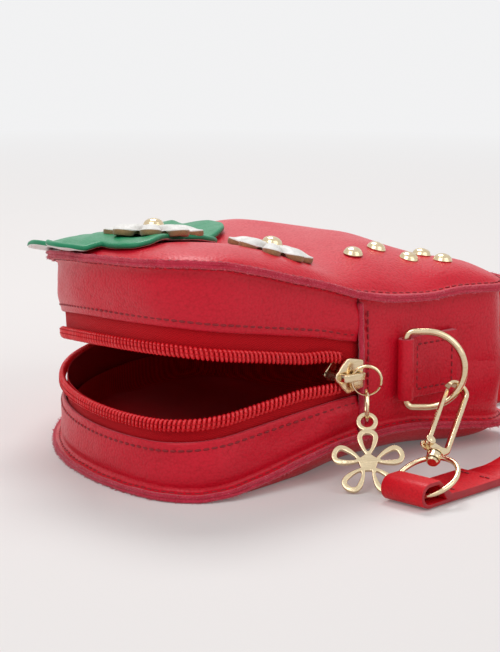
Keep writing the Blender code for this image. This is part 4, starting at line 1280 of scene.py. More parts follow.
@dataclass
class Body(Assembly):
    """Crowned panels, gusset strips, raw edges and stitching of the bag."""

    bulge: float = 0.0008
    station: float = 0.0024
    stitch_pitch: float = 0.0028
    stitch_inset: float = 0.0023
    topstitch: float = 0.0025
    fibres: int = 2600

    def build(self) -> None:
        """Makes every leather piece of the body."""
        self.panels()
        self.strips()
        self.tip()
        self.raw_edges()
        self.seam_stitches()
        self.top_stitches()
        self.end_seams()

    def pucker(self, along: float, which: int) -> float:
        """Slight rise and fall of a seam between its stitches."""
        return 0.00028 * noise.noise(Vector((along * 110, which * 5.3, 0.4)))

    def panels(self) -> None:
        """Front and back panels: a flat seam allowance, then the crown."""
        shares = [0.012 + 0.988 * (k / 19) ** 1.6 for k in range(20)]
        for which, point in ((1, SHAPE.front_point), (0, SHAPE.back_point)):
            def flange(inset: float, dip: float) -> Callable[[float], Point]:
                """A ring of the seam allowance at an inset, dipped a little."""
                return lambda s: point(s, inset, 0) + Vector((0, 0, self.pucker(s, which) - dip))
            rings = [flange(0, 0), flange(SHAPE.seam * 0.45, 0), flange(SHAPE.seam * 0.8, 0.0002 * which)]
            rings += [lambda s, share=share: point(s, SHAPE.seam * 0.9, share) for share in shares]
            bm = self.shop.dome(rings)
            name = ("back_panel_leather", "front_panel_leather")[which]
            panel = self.shop.piece(name, bm, [self.looks.red, self.looks.raw_edge,
                                               self.looks.inside], Slot.LEATHER)
            self.shop.walled(panel, SHAPE.leather, 1, 1, 2)
            self.shop.placed(panel, which == 1, *(("back_panel",), ("front_panel", "front_panel_tip"))[which])

    def skinned(self, name: str, at: Wall, stations: Sequence[float],
                rows: Sequence[Row], crisp: float = 0.0) -> Piece:
        """One sheet of gusset leather with its thickness and cut edges.

        Args:
            name: the piece's name.
            at: the place of a station and a row.
            stations: one number for each column.
            rows: the rows of the wall.
            crisp: how sharp the cut edge is.

        Returns:
            The piece.
        """
        bm = self.shop.sheet(at, stations, rows)
        finishes = [self.looks.red, self.looks.raw_edge, self.looks.inside]
        made = self.shop.piece(name, bm, finishes, Slot.LEATHER)
        return self.shop.walled(made, SHAPE.leather, 1, 1, 2, crisp=crisp)

    def creased(self, along: float, row: Row, front: bool) -> Point:
        """A wall point with the leather's own soft creases, where the row is free to move.

        Args:
            along: length along the outline.
            row: out, share and rise of the row.
            front: whether the row belongs to the front seam.

        Returns:
            The point of the closed bag.
        """
        out, share, rise = row
        if rise == 0:
            spot = Vector((along * 42, share * 5.5, 7.1 if front else 1.9))
            out += 0.0011 * noise.noise(spot) + 0.0003 * noise.noise(spot * 3.1)
        elif out > -SHAPE.seam:
            rise += self.pucker(along, 1 if share > 0.5 else 0)
        return SHAPE.wall(along, out, share, rise)

    def flange_rows(self, share: int) -> list[Row]:
        """Seam allowance of a gusset at share 0 or 1, from the raw edge inwards.

        Args:
            share: 0 for the back seam, 1 for the front one.

        Returns:
            The rows.
        """
        sign, seam, bend = (1 if share == 0 else -1), SHAPE.seam, SHAPE.seam_bend
        drop = SHAPE.gap / 2 + SHAPE.leather
        steps = ((0, 0), (-seam * 0.45, 0), (bend - seam, 0), (0.0004 - seam, bend * 0.35), (-seam, bend))
        return [(out, share, sign * (drop + more)) for out, more in steps]

    def strips(self) -> None:
        """Gusset strips on both sides of the zip; the front one bends over the fold."""
        near = SHAPE.zip_end - SHAPE.gap
        stations = spaced(-near, near, self.station)
        belly, low_edge, high_edge = self.bulge - SHAPE.seam, *SHAPE.zip_edges
        zip_at = SHAPE.zip_share
        lips = ((0.0003, 0.0022), (0.0001, 0.0011), (-0.0001, 0.0))
        back = self.flange_rows(0) + [(belly, share, 0) for share in (0.09, 0.13, 0.17, 0.205)]
        back += [(out - SHAPE.seam, zip_at, -low_edge - away) for out, away in lips]
        strip = self.skinned("back_zip_strip_leather", lambda s, row: self.creased(s, row, False),
                             stations, back)
        self.shop.hung(strip, Carrier.BAG.value, "back_zip_strip")
        front = [(out - SHAPE.seam, zip_at, high_edge + away) for out, away in lips[::-1]]
        front += [(belly, share, 0) for share in (0.73, 0.78, 0.83, 0.88)] + self.flange_rows(1)[::-1]
        strip = self.skinned("front_zip_strip_leather", lambda s, row: SHAPE.fold(self.creased(s, row, True)),
                             stations, front)
        self.shop.bent(strip, "front_zip_strip", "front_zip_strip_far")

    def tip(self) -> None:
        """Gusset round the tip in two heights: the upper one bends with the fold."""
        half = SHAPE.half_run
        stations = spaced(SHAPE.zip_end, 2 * half - SHAPE.zip_end, self.station)
        belly, split = self.bulge - SHAPE.seam, SHAPE.zip_share

        def at(along: float, row: Row) -> Point:
            """A gusset point, folded more the higher it is."""
            point = self.creased(SHAPE.wrapped(along), row, False)
            return point.lerp(SHAPE.fold(point), smooth((row[1] - split) * 3))

        low = self.flange_rows(0) + [(belly, share, 0) for share in (0.1, 0.17, 0.25, 0.34, split)]
        high = [(belly, share, 0) for share in (split, 0.55, 0.66, 0.76, 0.85)] + self.flange_rows(1)[::-1]
        lower = self.skinned("tip_gusset_lower", at, stations, low, 1.0)
        self.shop.hung(lower, Carrier.BAG.value, "tip_gusset")
        self.shop.bent(self.skinned("tip_gusset_upper", at, stations, high, 1.0))

    def raw_edges(self) -> None:
        """Soft pink cut edges round both panels, with their fibres."""
        half = SHAPE.half_run
        profile = ((-0.0007, -1.0), (0.0001, -0.98), (0.0004, -0.62), (0.0003, -0.2), (0.00005, 0.0),
                   (0.0003, 0.22), (0.0004, 0.62), (0.0001, 0.98), (-0.0007, 1.0))
        tall = SHAPE.leather + SHAPE.gap / 4
        draw = random.Random(11)
        for share, name in ((1, "front_raw_edge"), (0, "back_raw_edge")):
            def at(along: float, out: float, rise: float) -> Point:
                """A rough point of the cut edge."""
                rough = noise.noise(Vector((along * 900, rise * 2600, share))) * 0.00028
                wide = noise.noise(Vector((along * 260, share, 3.0))) * 0.0002
                point = SHAPE.wall(along, out + rough + wide, share, rise + self.pucker(along, share))
                return SHAPE.fold(point) if share else Vector((point.x, point.y, max(point.z, 0.0)))
            sections = [[at(s, out, level * tall) for out, level in profile]
                        for s in spaced(-half, half, 0.0008)[:-1]]
            band = self.shop.piece(name, self.shop.swept(sections, True), [self.looks.raw_edge],
                                   Slot.LEATHER, 0)
            roots = []
            for _ in range(self.fibres):
                s, level = draw.uniform(-half, half), draw.choice((-1, 1)) * draw.uniform(0.3, 0.98)
                _, _, nx, ny = SHAPE.rim(s)
                out = Vector((nx, ny, level * 0.4))
                roots.append((at(s, 0.0001, level * tall), out, Vector((-ny, nx, 0))))
            fibres = self.shop.fuzz(name + "_fibres", roots, 20 + share)
            for made in (band, fibres):
                self.shop.placed(made, share == 1)

    def seam_stitches(self) -> None:
        """Stitches through both seam allowances, seen on the panels and under the flanges."""
        half, inset = SHAPE.half_run, self.stitch_inset
        marks = spaced(-half, half, self.stitch_pitch)[:-1]
        step = self.stitch_pitch / 3
        drop = SHAPE.gap / 2 + SHAPE.leather
        for share, panel in ((1, SHAPE.front_point), (0, SHAPE.back_point)):
            sign = 1 if share else -1
            shape = SHAPE.fold if share else (lambda p: p)
            places = []
            for s in marks:
                lift = Vector((0, 0, self.pucker(s, share) + sign * 0.00005))
                ahead = panel(s + step, inset, 0) - panel(s - step, inset, 0)
                if share or panel(s, inset, 0).z > SHAPE.leather:
                    places.append((panel(s, inset, 0) + lift, ahead, Vector((0, 0, sign))))
                under = shape(SHAPE.wall(s, -inset * 0.8, share, -sign * drop + self.pucker(s, share)))
                places.append((under, ahead, Vector((0, 0, -sign))))
            made = self.shop.stitches(("back_seam_stitches", "front_seam_stitches")[share], places)
            self.shop.placed(made, share == 1)

    def top_stitches(self) -> None:
        """Rows of stitches along both leather edges of the zip."""
        near = SHAPE.zip_end - 0.003
        for side in Side:
            high = side.value * (SHAPE.zip_edges[side is Side.FRONT] + self.topstitch)
            places = []

            def at(along: float, out: float = 0.0) -> Point:
                """A point on the strip's face along this row."""
                point = SHAPE.wall(along, out - SHAPE.seam + 0.00035, SHAPE.zip_share, high)
                return SHAPE.fold(point) if side is Side.FRONT else point

            for s in spaced(-near, near, self.stitch_pitch):
                places.append((at(s), at(s + 0.0006) - at(s - 0.0006), at(s, 0.001) - at(s)))
            made = self.shop.stitches(f"zip_topstitch_{side.name.lower()}", places)
            self.shop.placed(made, side is Side.FRONT)

    def end_seams(self) -> None:
        """Raw ridge and stitches where the zip strips meet the tip gusset, on both sides."""
        for sign, word in ((1, "near"), (-1, "far")):
            line, marks = [], []
            for i in range(49):
                share = 0.06 + 0.88 * i / 48
                rough = noise.noise(Vector((i * 0.9, sign, 0.5))) * 0.0003
                for store, along in ((line, SHAPE.zip_end), (marks, SHAPE.zip_end + 0.0026)):
                    point = SHAPE.wall(sign * along, self.bulge - SHAPE.seam + 0.0002, share)
                    point = point.lerp(SHAPE.fold(point), smooth((share - SHAPE.zip_share) * 3))
                    store.append(point + Vector((rough, 0, 0)) if store is line else point)
            _, _, nx, ny = SHAPE.rim(sign * SHAPE.zip_end)
            out = Vector((nx, ny, 0))
            roots = [(p + out * 0.0004, out, Z_AXIS) for p in line for _ in range(5)]
            ridge = self.shop.wire(line, 0.0009, 8)
            places = [(marks[i] + out * 0.00012, marks[i + 1] - marks[i - 1], out) for i in range(2, 47, 3)]
            finishes = [self.looks.raw_edge]
            for made in (self.shop.piece(f"end_seam_ridge_{word}", ridge, finishes, Slot.LEATHER, 0),
                         self.shop.fuzz(f"end_seam_fibres_{word}", roots, 31 + sign),
                         self.shop.stitches(f"end_seam_stitches_{word}", places)):
                self.shop.hung(made, Carrier.BAG.value)


# Lining and zip


@dataclass
class Lining(Assembly):
    """Dark lining: a slack cup in the back half and a sheet under the front panel."""

    cloth: float = 0.0004
    hidden: float = 0.0035

    def build(self) -> None:
        """Makes both parts of the lining."""
        inset = SHAPE.seam + SHAPE.leather + 0.0011
        lift = SHAPE.leather + SHAPE.gap + self.cloth
        shares = (0.02, 0.05, 0.09, 0.14, 0.22, 0.32, 0.46, 0.62, 0.8, 1.0)

        def slack(point: Point, amount: float) -> Point:
            """A point lifted by the creases of loose cloth."""
            crease = noise.noise(point * 34) + 0.5 * noise.noise(point * 80)
            return point + Vector((0, 0, abs(crease) * amount))

        walls = ((SHAPE.zip_share, -SHAPE.zip_edges[0] - self.hidden), (0.16, 0), (0.09, 0))
        rings = [lambda s, share=share, rise=rise: SHAPE.wall(s, -inset - 0.0008, share, rise)
                 for share, rise in walls]
        rings += [lambda s, share=share: slack(SHAPE.back_point(s, inset, share, lift), 0.0022)
                  for share in shares]
        finishes = [self.looks.lining]
        back = self.shop.piece("back_lining_cloth", self.shop.dome(rings), finishes, Slot.LINING)
        self.shop.hung(self.shop.walled(back, self.cloth, even=False), Carrier.BAG.value, "back_lining")
        drop = lift + SHAPE.leather + 0.0014
        rings = [lambda s, share=share: slack(SHAPE.front_point(s, inset, share, drop), -0.0012)
                 for share in (0.0,) + shares]
        front = self.shop.piece("front_lining_cloth", self.shop.dome(rings), finishes, Slot.LINING)
        self.shop.bent(self.shop.walled(front, self.cloth, even=False), "front_lining")


@dataclass
class Zip(Assembly):
    """Woven tapes, nylon coils with every turn, closed end of the chain and its stop."""

    tape: float = 0.0005
    tape_edge: float = 0.0010
    tape_hidden: float = 0.006
    lap: float = 0.0016
    coil_width: float = 0.0041
    coil_head: float = 0.0002
    pitch: float = 0.00166
    filament: float = 0.0005
    coil_steps: int = 10
    coil_thread: Triple = (0.0014, 0.00038, 0.0003)
    closed_half: float = 0.0031
    spread: Pair = (0.0014, 0.016)
    divider: float = 0.003
    stop: float = 0.0018

    def apart(self, along: float) -> float:
        """How far the halves stand apart before the slider's divider."""
        gap = abs(SHAPE.zip_end - SHAPE.slider_setback - SHAPE.slider_length / 4 - along)
        return self.spread[0] * smooth(1 - gap / self.spread[1])

    def build(self) -> None:
        """Makes both halves, the closed end and the stop."""
        end = SHAPE.zip_end - SHAPE.gap
        last = SHAPE.zip_end - SHAPE.slider_setback - self.divider / 3
        for side in Side:
            self.woven(side, -end - self.lap, end + self.lap)
            self.coil(side, -end, last)
        self.closed(last + SHAPE.gap, SHAPE.zip_end - self.stop - 2 * SHAPE.gap)

    def shaped(self, side: Side, point: Point) -> Point:
        """The point of the lifted front, or of the still back."""
        return SHAPE.fold(point) if side is Side.FRONT else point

    def woven(self, side: Side, start: float, end: float) -> None:
        """One tape from end to end.

        Args:
            side: which half of the zip.
            start: first length along the outline.
            end: last length.
        """
        out = -(SHAPE.seam + SHAPE.leather + SHAPE.gap)
        edge = SHAPE.zip_edges[1 if side is Side.FRONT else 0]
        reaches = (self.tape_edge, self.tape_edge + 0.002, edge - SHAPE.gap, edge + self.tape_hidden)
        rows = [(out, SHAPE.zip_share, side.value * reach) for reach in reaches]

        def at(along: float, row: Row) -> Point:
            """A point of the tape, spread at the slider's divider."""
            nudge = side.value * self.apart(along) if row is rows[0] else 0
            buckle = 0.0003 * noise.noise(Vector((along * 60, side.value, 4.0)))
            return self.shaped(side, SHAPE.wall(along, row[0] + buckle, row[1], row[2] + nudge))

        bm = self.shop.sheet(at, spaced(start, end, 0.003), rows)
        word = side.name.lower()
        tape = self.shop.piece(f"zip_tape_{word}", bm, [self.looks.tape], Slot.TAPE)
        nodes = ("front_tape", "front_tape_far") if side is Side.FRONT else ("back_tape",)
        self.shop.placed(self.shop.walled(tape, self.tape), side is Side.FRONT, *nodes)

    def turn(self, along: float, side: Side, angle: float) -> Point:
        """A point of the coil's filament.

        Args:
            along: length along the outline.
            side: which half of the zip.
            angle: how far round the coil, in radians.

        Returns:
            The point.
        """
        thick = SHAPE.coil_thick / 2 - self.filament
        wide = self.coil_width / 2 - self.filament
        square = math.copysign(abs(math.cos(angle)) ** 0.6, math.cos(angle))
        height = self.coil_head + self.coil_width / 2 + self.apart(along) + wide * square
        out = SHAPE.chain_out + thick * math.sin(angle)
        return self.shaped(side, SHAPE.wall(along, out, SHAPE.zip_share, side.value * height))

    def coil(self, side: Side, start: float, last: float) -> None:
        """The flattened spiral of nylon and the two threads that hold it to the tape.

        Args:
            side: which half of the zip.
            start: first length along the outline.
            last: last length.
        """
        turns, steps, line = round((last - start) / self.pitch), self.coil_steps, []
        for i in range(turns * steps + 1):
            angle = 2 * math.pi * i / steps
            line.append(self.turn(start + (last - start) * i / (turns * steps), side, angle))
        word = side.name.lower()
        coil = self.shop.piece(f"zip_coil_{word}", self.shop.wire(line, self.filament, 6),
                               [self.looks.nylon], Slot.NYLON, 0)
        nodes = ("front_coil", "front_coil_far") if side is Side.FRONT else ("back_coil",)
        self.shop.placed(coil, side is Side.FRONT, *nodes)
        places = []
        for i in range(turns):
            along = start + (last - start) * (i + 0.5) / turns
            for level in (0.42, 0.74):
                high = side.value * (self.coil_head + self.apart(along) + self.coil_width * level)

                def at(run: float, out: float = 0.0) -> Point:
                    """A point of the thread over the coil."""
                    face = SHAPE.chain_out + SHAPE.coil_thick / 2 + out - 0.0001
                    return self.shaped(side, SHAPE.wall(run, face, SHAPE.zip_share, high))

                places.append((at(along), at(along + 0.0005) - at(along), at(along, 0.001) - at(along)))
        thread = self.shop.stitches(f"zip_coil_thread_{word}", places, self.coil_thread)
        thread.data.materials[0] = self.looks.tape
        self.shop.placed(thread, side is Side.FRONT)

    def closed(self, start: float, end: float) -> None:
        """The closed end: two meshed coils between the slider and the stop.

        Args:
            start: where the slider's divider ends.
            end: where the stop begins.
        """
        turns, steps = max(round((end - start) / self.pitch), 2), self.coil_steps
        half, thick, shapes = self.closed_half, SHAPE.coil_thick / 2 - self.filament, []
        for sign in (1, -1):
            line = []
            for i in range(turns * steps + 1):
                angle = 2 * math.pi * i / steps + (math.pi if sign < 0 else 0)
                along = start + (end - start) * i / (turns * steps)
                high = sign * (half / 2 + (half / 2 - self.filament) * math.cos(angle))
                out = SHAPE.chain_out + thick * math.sin(angle)
                line.append(SHAPE.wall(along, out, SHAPE.zip_share, high))
            shapes.append(self.shop.wire(line, self.filament, 6))
        chain = self.shop.piece("zip_chain_closed", merged(shapes), [self.looks.nylon], Slot.NYLON, 0)
        self.shop.hung(chain, Carrier.BAG.value, "closed_chain")
        stop = self.shop.copied("bottom_stop", "zip_bottom_stop", Slot.GOLD, [self.looks.gold], 0.0003)
        self.shop.hung(stop, Carrier.BAG.value, "bottom_stop")


@dataclass
class Pull(Assembly):
    """Slider with its bridge, split ring, jump ring and open flower charm."""

    half: float = 0.0055
    neck: float = 0.0044
    nose: float = 0.78
    plate: float = 0.0012
    play: float = 0.0004
    divider: Pair = (0.003, 0.0010)
    bridge: tuple[float, float, float, float] = (0.0086, 0.0024, 0.0009, 0.0024)
    ring: Triple = (0.0045, 0.00055, 0.0012)
    jump: Pair = (0.0046, 0.00055)
    jump_tilt: float = 24.0
    charm_tilt: float = 43.0
    charm_thick: float = 0.0012
    charm_band: float = 0.0016
    eyelet: Pair = (0.0033, 0.0019)
    petal: tuple[float, float, float, float] = (0.0092, 0.0044, 0.0022, 0.66)
    petals: int = 5

    def build(self) -> None:
        """Makes the slider and what hangs from it."""
        place = SHAPE.chain_frame(SHAPE.zip_end - SHAPE.slider_setback, SHAPE.chain_out)
        tunnel = self.slider(place)
        swing = place @ Matrix.Translation(tunnel) @ Matrix.Rotation(-SHAPE.slope, 4, "Z")
        self.rings(swing)

    def gold(self, name: str, shapes: Sequence[Solid], body: str, *nodes: str) -> None:
        """One gold piece made of several closed shapes, on a body."""
        made = self.shop.piece(name, merged(shapes), [self.looks.gold], Slot.GOLD, 32)
        self.shop.hung(made, body, *nodes)

    def slider(self, place: Matrix) -> Point:
        """Makes the slider in its frame.

        Args:
            place: axes on the chain.

        Returns:
            The middle of the tunnel under its bridge, in that frame.
        """
        half, deep = SHAPE.slider_length / 2, SHAPE.coil_thick / 2 + self.play
        back = SHAPE.coil_thick / 2 + SHAPE.gap + 0.0005 + 2 * self.play
        nose = half * self.nose
        wide, neck = self.half, self.neck
        shield = [(-half, 0.0), (-half * 0.93, -wide * 0.2), (-nose, -wide / 3), (-half / 2, -wide * 0.68),
                  (-half / 5, -wide * 0.97), (0, -wide), (half * 0.94, -neck), (half, -neck * 0.92)]
        shield += [(x, -y) for x, y in shield[:0:-1]]

        def upright(y: float) -> Matrix:
            """Axes of a plate that stands at a depth."""
            return place @ Matrix.Translation((0, y, 0)) @ UPRIGHT

        shapes = [plate([shield], self.plate, 0.00038, upright(low + self.plate / 2))
                  for low in (-deep - self.plate, back)]
        long, wide = self.divider
        near, far = 0.0003 - half, long - half
        post = [(near, -wide), (far, -wide * 0.6), (far, wide * 0.6), (near, wide)]
        middle = (back - deep) / 2
        shapes.append(plate([post], back + deep + self.plate, 0.0002, upright(middle)))
        for side in (-1, 1):
            low, high = sorted((side * (self.neck - 0.0009), side * self.neck))
            wall = [(half / 5, low), (half * 0.98, low), (half * 0.98, high), (half / 5, high)]
            shapes.append(plate([wall], deep + SHAPE.coil_thick / 2 + self.plate / 4, 0.00025,
                                upright(-self.plate / 4)))
        face = -deep - self.plate
        reach, wide, bar, rise = self.bridge[0] / 2, *self.bridge[1:]
        crown = circle(rise * 0.55, 8, math.pi, math.pi / 2, False)
        arch = [(-reach, SHAPE.gap)]
        arch += [(x - reach + rise * 0.55, y - rise / 2 - bar + rise * 0.1) for x, y in crown]
        arch += [(-x, y) for x, y in arch[::-1]]
        inner = [(reach - bar, SHAPE.gap), (reach - bar, -rise * 0.35), (reach - 1.6 * bar, -rise * 0.8),
                 (-reach + 1.6 * bar, -rise * 0.8), (bar - reach, -rise * 0.35), (bar - reach, SHAPE.gap)]
        shapes.append(plate([arch + inner], wide, 0.00034, place @ Matrix.Translation((0, face, 0))))
        self.gold("zip_slider", shapes, "slider", "slider")
        return Vector((0, face - rise / 2, 0))

    def rings(self, swing: Matrix) -> None:
        """Makes the split ring, the jump ring and the charm.

        Args:
            swing: axes of the split ring at the tunnel.
        """
        radius, wire, drop = self.ring
        centre = Vector((math.sqrt(radius ** 2 - drop ** 2), 0, -drop))
        start, gap = math.radians(-22), math.radians(8)
        sections = []
        for i in range(61):
            a = start + gap / 2 + (2 * math.pi - gap) * i / 60
            out = Vector((math.cos(a), 0, math.sin(a)))
            flat = 0.75 + 0.25 * math.cos(a - math.radians(80))
            sections.append([swing @ (centre + out * (radius + wire * flat * math.cos(b))
                                      + Vector((0, 1, 0)) * wire * (1.9 - 0.9 * flat) * math.sin(b))
                             for b in (2 * math.pi * k / 10 for k in range(10))])
        self.gold("pull_split_ring", [self.shop.swept(sections)], "pull_ring", "pull_ring")
        hang = centre + Vector((0, 0, -radius))
        link = swing @ Matrix.Translation(hang) @ Matrix.Rotation(-math.radians(self.jump_tilt), 4, "X")
        radius, jump_wire = self.jump
        seat = radius - jump_wire - wire - SHAPE.gap
        loop = turned([(0, y, z - seat) for y, z in circle(radius, 40)], link)
        self.gold("charm_jump_ring", [self.shop.wire(loop, jump_wire, 10, True)], "jump_ring", "jump_ring")
        foot = Matrix.Translation((0, 0, -seat - radius))
        lean = Matrix.Rotation(math.radians(self.jump_tilt - self.charm_tilt), 4, "X")
        self.charm(link @ foot @ lean, jump_wire)

    def petal_point(self, share: float, inset: float) -> Point:
        """A point round a petal that points along X, drawn in by an inset.

        Args:
            share: share of the way round.
            inset: distance inwards.

        Returns:
            The point in a plane.
        """
        a = 2 * math.pi * share
        length, half, start, full = self.petal
        wide = half * math.sin(a) * (full + (1 - full) * math.cos(a))
        point = Vector((start + length * (1 + math.cos(a)) / 2, wide))
        middle = Vector((start + length * full, 0))
        away = point - middle
        return middle + away * (1 - inset / away.length)

    def charm(self, place: Matrix, jump_wire: float) -> None:
        """Makes the flat open flower under its eyelet.

        Args:
            place: axes at the jump ring's foot.
            jump_wire: radius of that ring's wire.
        """
        outer, inner = self.eyelet
        band, steps, root = self.charm_band, 18, 3
        eyelet = Vector((0, jump_wire + 2 * SHAPE.gap - inner))
        hub = eyelet - Vector((0, outer - band / 2 + self.petal[2] + self.petal[0]))
        edge, holes = [], []
        for i in range(self.petals):
            turn = Matrix.Rotation(math.pi / 2 + 2 * math.pi * i / self.petals, 2)
            for k in range(-steps + root, steps - root + 1):
                if i == 0 and k == 0:
                    opening = math.acos((outer - band / 2) / outer)
                    edge += [eyelet + outer * Vector((math.sin(b), -math.cos(b))) for b in
                             (opening + 2 * (math.pi - opening) * n / 24 for n in range(25))]
                elif i or abs(k) > 1:
                    edge.append(turn @ self.petal_point(k / (2 * steps), 0) + hub)
            holes.append([turn @ self.petal_point(k / steps, band) + hub for k in range(steps)])
        holes.append([Vector(p) + eyelet for p in circle(inner, 22)])
        self.gold("flower_charm", [plate([edge, *holes], self.charm_thick, 0.00022, place @ UPRIGHT, 4)],
                  "charm", "charm")


# Rings, hooks and tabs


@dataclass
class Hooks(Assembly):
    """Leather tabs, D rings and snap hooks with swivel eyes, on both sides."""

    tab_x: float = 0.1045
    tab_length: float = 0.022
    tab_width: float = 0.0195
    tab_stitch: Triple = (0.0018, 0.0007, 0.0006)
    ring_wire: float = 0.0011
    ring_half: float = 0.0120
    ring_reach: float = 0.0182
    ring_swing: float = 40.0
    play: float = 0.0003
    on_ring: float = 36.0
    lean: float = 62.0
    aside: float = 36.0
    hook_play: float = 0.0012
    inner: float = 0.0025
    bar: float = 0.0016
    thick: float = 0.0026
    shank: float = 0.0285
    base: float = 0.0040
    gate_tip: float = 0.0022
    gate_bore: float = 0.0009
    pin: float = 0.0006
    ear: float = 0.0006
    post: float = 0.0010
    rivet: Pair = (0.0019, 0.0011)
    eye: Pair = (0.0095, 0.0008)
    boss: Pair = (0.0023, 0.0024)
    strap_turn: float = 46.0
    strap_loop: float = 0.0038

    def __post_init__(self) -> None:
        """Works out the frames that hang from each other."""
        self.tab_place = SHAPE.chain_frame(SHAPE.side_at(self.tab_x), 0.0008 + SHAPE.gap - SHAPE.seam)
        self.roll = self.ring_wire + self.play + SHAPE.leather
        self.swing = self.tab_place @ Matrix.Translation((0, -self.roll, 0)) @ Matrix.Rotation(
            -math.radians(self.ring_swing), 4, "Z")
        below = math.radians(self.on_ring)
        self.straight = self.ring_reach - self.ring_half
        seat = self.swing @ Vector((self.straight + self.ring_half * math.cos(below), 0,
                                    -self.ring_half * math.sin(below)))
        lean, aside = math.radians(self.lean), math.radians(self.aside)
        up = Vector((math.sin(aside) * math.cos(lean), math.sin(lean), math.cos(lean) * math.cos(aside)))
        up.normalize()
        along = self.swing.to_3x3() @ Vector((math.sin(below), 0, math.cos(below)))
        thick = (along - up * along.dot(up)).normalized()
        turn = axes(thick.cross(up), thick, up)
        self.hook = Matrix.Translation(seat) @ turn
        self.outer = self.inner + self.bar
        self.nose = self.ring_wire + self.hook_play - self.inner
        self.foot = self.nose - self.shank
        self.sole = self.foot - self.base

    def strap_start(self) -> tuple[Point, Point]:
        """Middle of the strap's fold at the near eye, and the direction in which it leaves."""
        turn = math.radians(self.strap_turn)
        run = Vector((math.cos(turn), math.sin(turn), 0))
        across = run.cross(Z_AXIS)
        up = self.hook.to_3x3().col[2]
        radius, wire = self.eye
        middle = self.hook @ Vector((0, 0, self.sole - SHAPE.gap - self.boss[1] / 2 - radius))
        low = middle - (up - across * across.dot(up)).normalized() * radius
        return Vector((low.x, low.y, self.strap_loop + SHAPE.gap)) + run * wire, run

    def both(self, name: str, shapes: Sequence[Solid], materials: Sequence[Paint],
             slot: Slot, body: str, node: str = "") -> None:
        """Makes a near piece and its far copy.

        Args:
            name: the pieces' name, without the side.
            shapes: closed shapes of the near piece.
            materials: its finishes.
            slot: the record's slot.
            body: the body's name, without the side.
            node: name of the replaced node, without the side.
        """
        near = merged(shapes)
        for side, bm in (("far", flipped(near)), ("near", near)):
            made = self.shop.piece(f"{name}_{side}", bm, materials, slot, 32)
            carrier = f"{body}_{side}" if body else Carrier.BAG.value
            self.shop.hung(made, carrier, *([f"{node}_{side}"] if node else []))

    def build(self) -> None:
        """Makes every ring, hook and tab."""
        self.tabs()
        self.d_rings()
        self.hook_bodies()
        self.gates()
        self.eyes()

    def tabs(self) -> None:
        """Leather tabs rolled round the D rings' straight bars, with their box of stitches."""
        leather, roll = SHAPE.leather, self.roll
        start = math.asin((roll - 2 * leather) / roll)
        sweep = 3 * math.pi / 2 - start
        arc = [(roll * math.cos(a), roll * math.sin(a) - roll)
               for a in (-start - sweep * i / 26 for i in range(27))]
        edge = [(self.tab_length, 0), (self.tab_length, -2 * leather), (roll + 0.003, -2 * leather), *arc]
        hole = [(x, y - roll) for x, y in circle(self.ring_wire + self.play, 20)]
        shape = plate([edge, hole], self.tab_width, 0.00035, self.tab_place, 2)
        inverse = self.tab_place.inverted().to_3x3()
        for face in shape.faces:
            normal = inverse @ face.normal
            middle = self.tab_place.inverted() @ face.calc_center_median()
            if abs(normal.z) > 0.6 or (normal.x > 0.6 and middle.x > self.tab_length * 0.9):
                face.material_index = 1
        finishes = [self.looks.red, self.looks.raw_edge]
        self.both("d_ring_tab_leather", [shape], finishes, Slot.LEATHER, "", "d_ring_tab")
        face, half = -2 * leather - 0.00004, self.tab_width / 2 - 0.0026
        low, high = roll + 0.0024, self.tab_length - 0.0022
        corners = ((low, half), (high, half), (high, -half), (low, -half))
        marks = []
        for (x0, z0), (x1, z1) in zip(corners, corners[1:] + corners[:1]):
            count = max(round(math.hypot(x1 - x0, z1 - z0) / 0.0024), 1)
            for i in range(count):
                share = (i + 0.5) / count
                marks.append((Vector((x0 + (x1 - x0) * share, face, z0 + (z1 - z0) * share)),
                              Vector((x1 - x0, 0, z1 - z0))))
        turn = self.tab_place.to_3x3()
        near = [(self.tab_place @ spot, turn @ ahead, turn @ Vector((0, -1, 0))) for spot, ahead in marks]
        for side, flip in (("near", Matrix.Identity(3)), ("far", MIRROR)):
            spots = [tuple(flip @ v for v in mark) for mark in near]
            made = self.shop.stitches(f"d_ring_tab_stitches_{side}", spots, self.tab_stitch)
            self.shop.hung(made, Carrier.BAG.value)

    def d_rings(self) -> None:
        """D rings bent from round wire, with soft corners."""
        half, straight, corner = self.ring_half, self.straight, 0.0022
        line = [(0, 0, half * (i / 6 - 1) * 0.8) for i in range(13)]
        line += [(corner * (1 - math.cos(a)), 0, half - corner + corner * math.sin(a))
                 for a in (math.pi / 2 * i / 6 for i in range(1, 6))]
        line += [(corner + (straight - corner) * i / 3, 0, half) for i in range(4)]
        line += [(straight + half * math.sin(math.pi * i / 32), 0, half * math.cos(math.pi * i / 32))
                 for i in range(1, 32)]
        line += [(corner + (straight - corner) * i / 3, 0, -half) for i in (3, 2, 1, 0)]
        line += [(corner * (1 - math.cos(a)), 0, corner - half - corner * math.sin(a))
                 for a in (math.pi / 2 * i / 6 for i in range(5, 0, -1))]
        ring = self.shop.wire(turned(line, self.swing), self.ring_wire, 14, True)
        gold = [self.looks.gold]
        self.both("d_ring_wire", [ring], gold, Slot.GOLD, "d_ring", "d_ring")

    def pin_place(self) -> Matrix:
        """Axes of the gate's pin, in the hook's frame."""
        spot = (self.outer - self.bar / 2, 0, self.foot - self.gate_bore)
        return Matrix.Translation(spot) @ Matrix.Rotation(math.pi / 2, 4, "X")

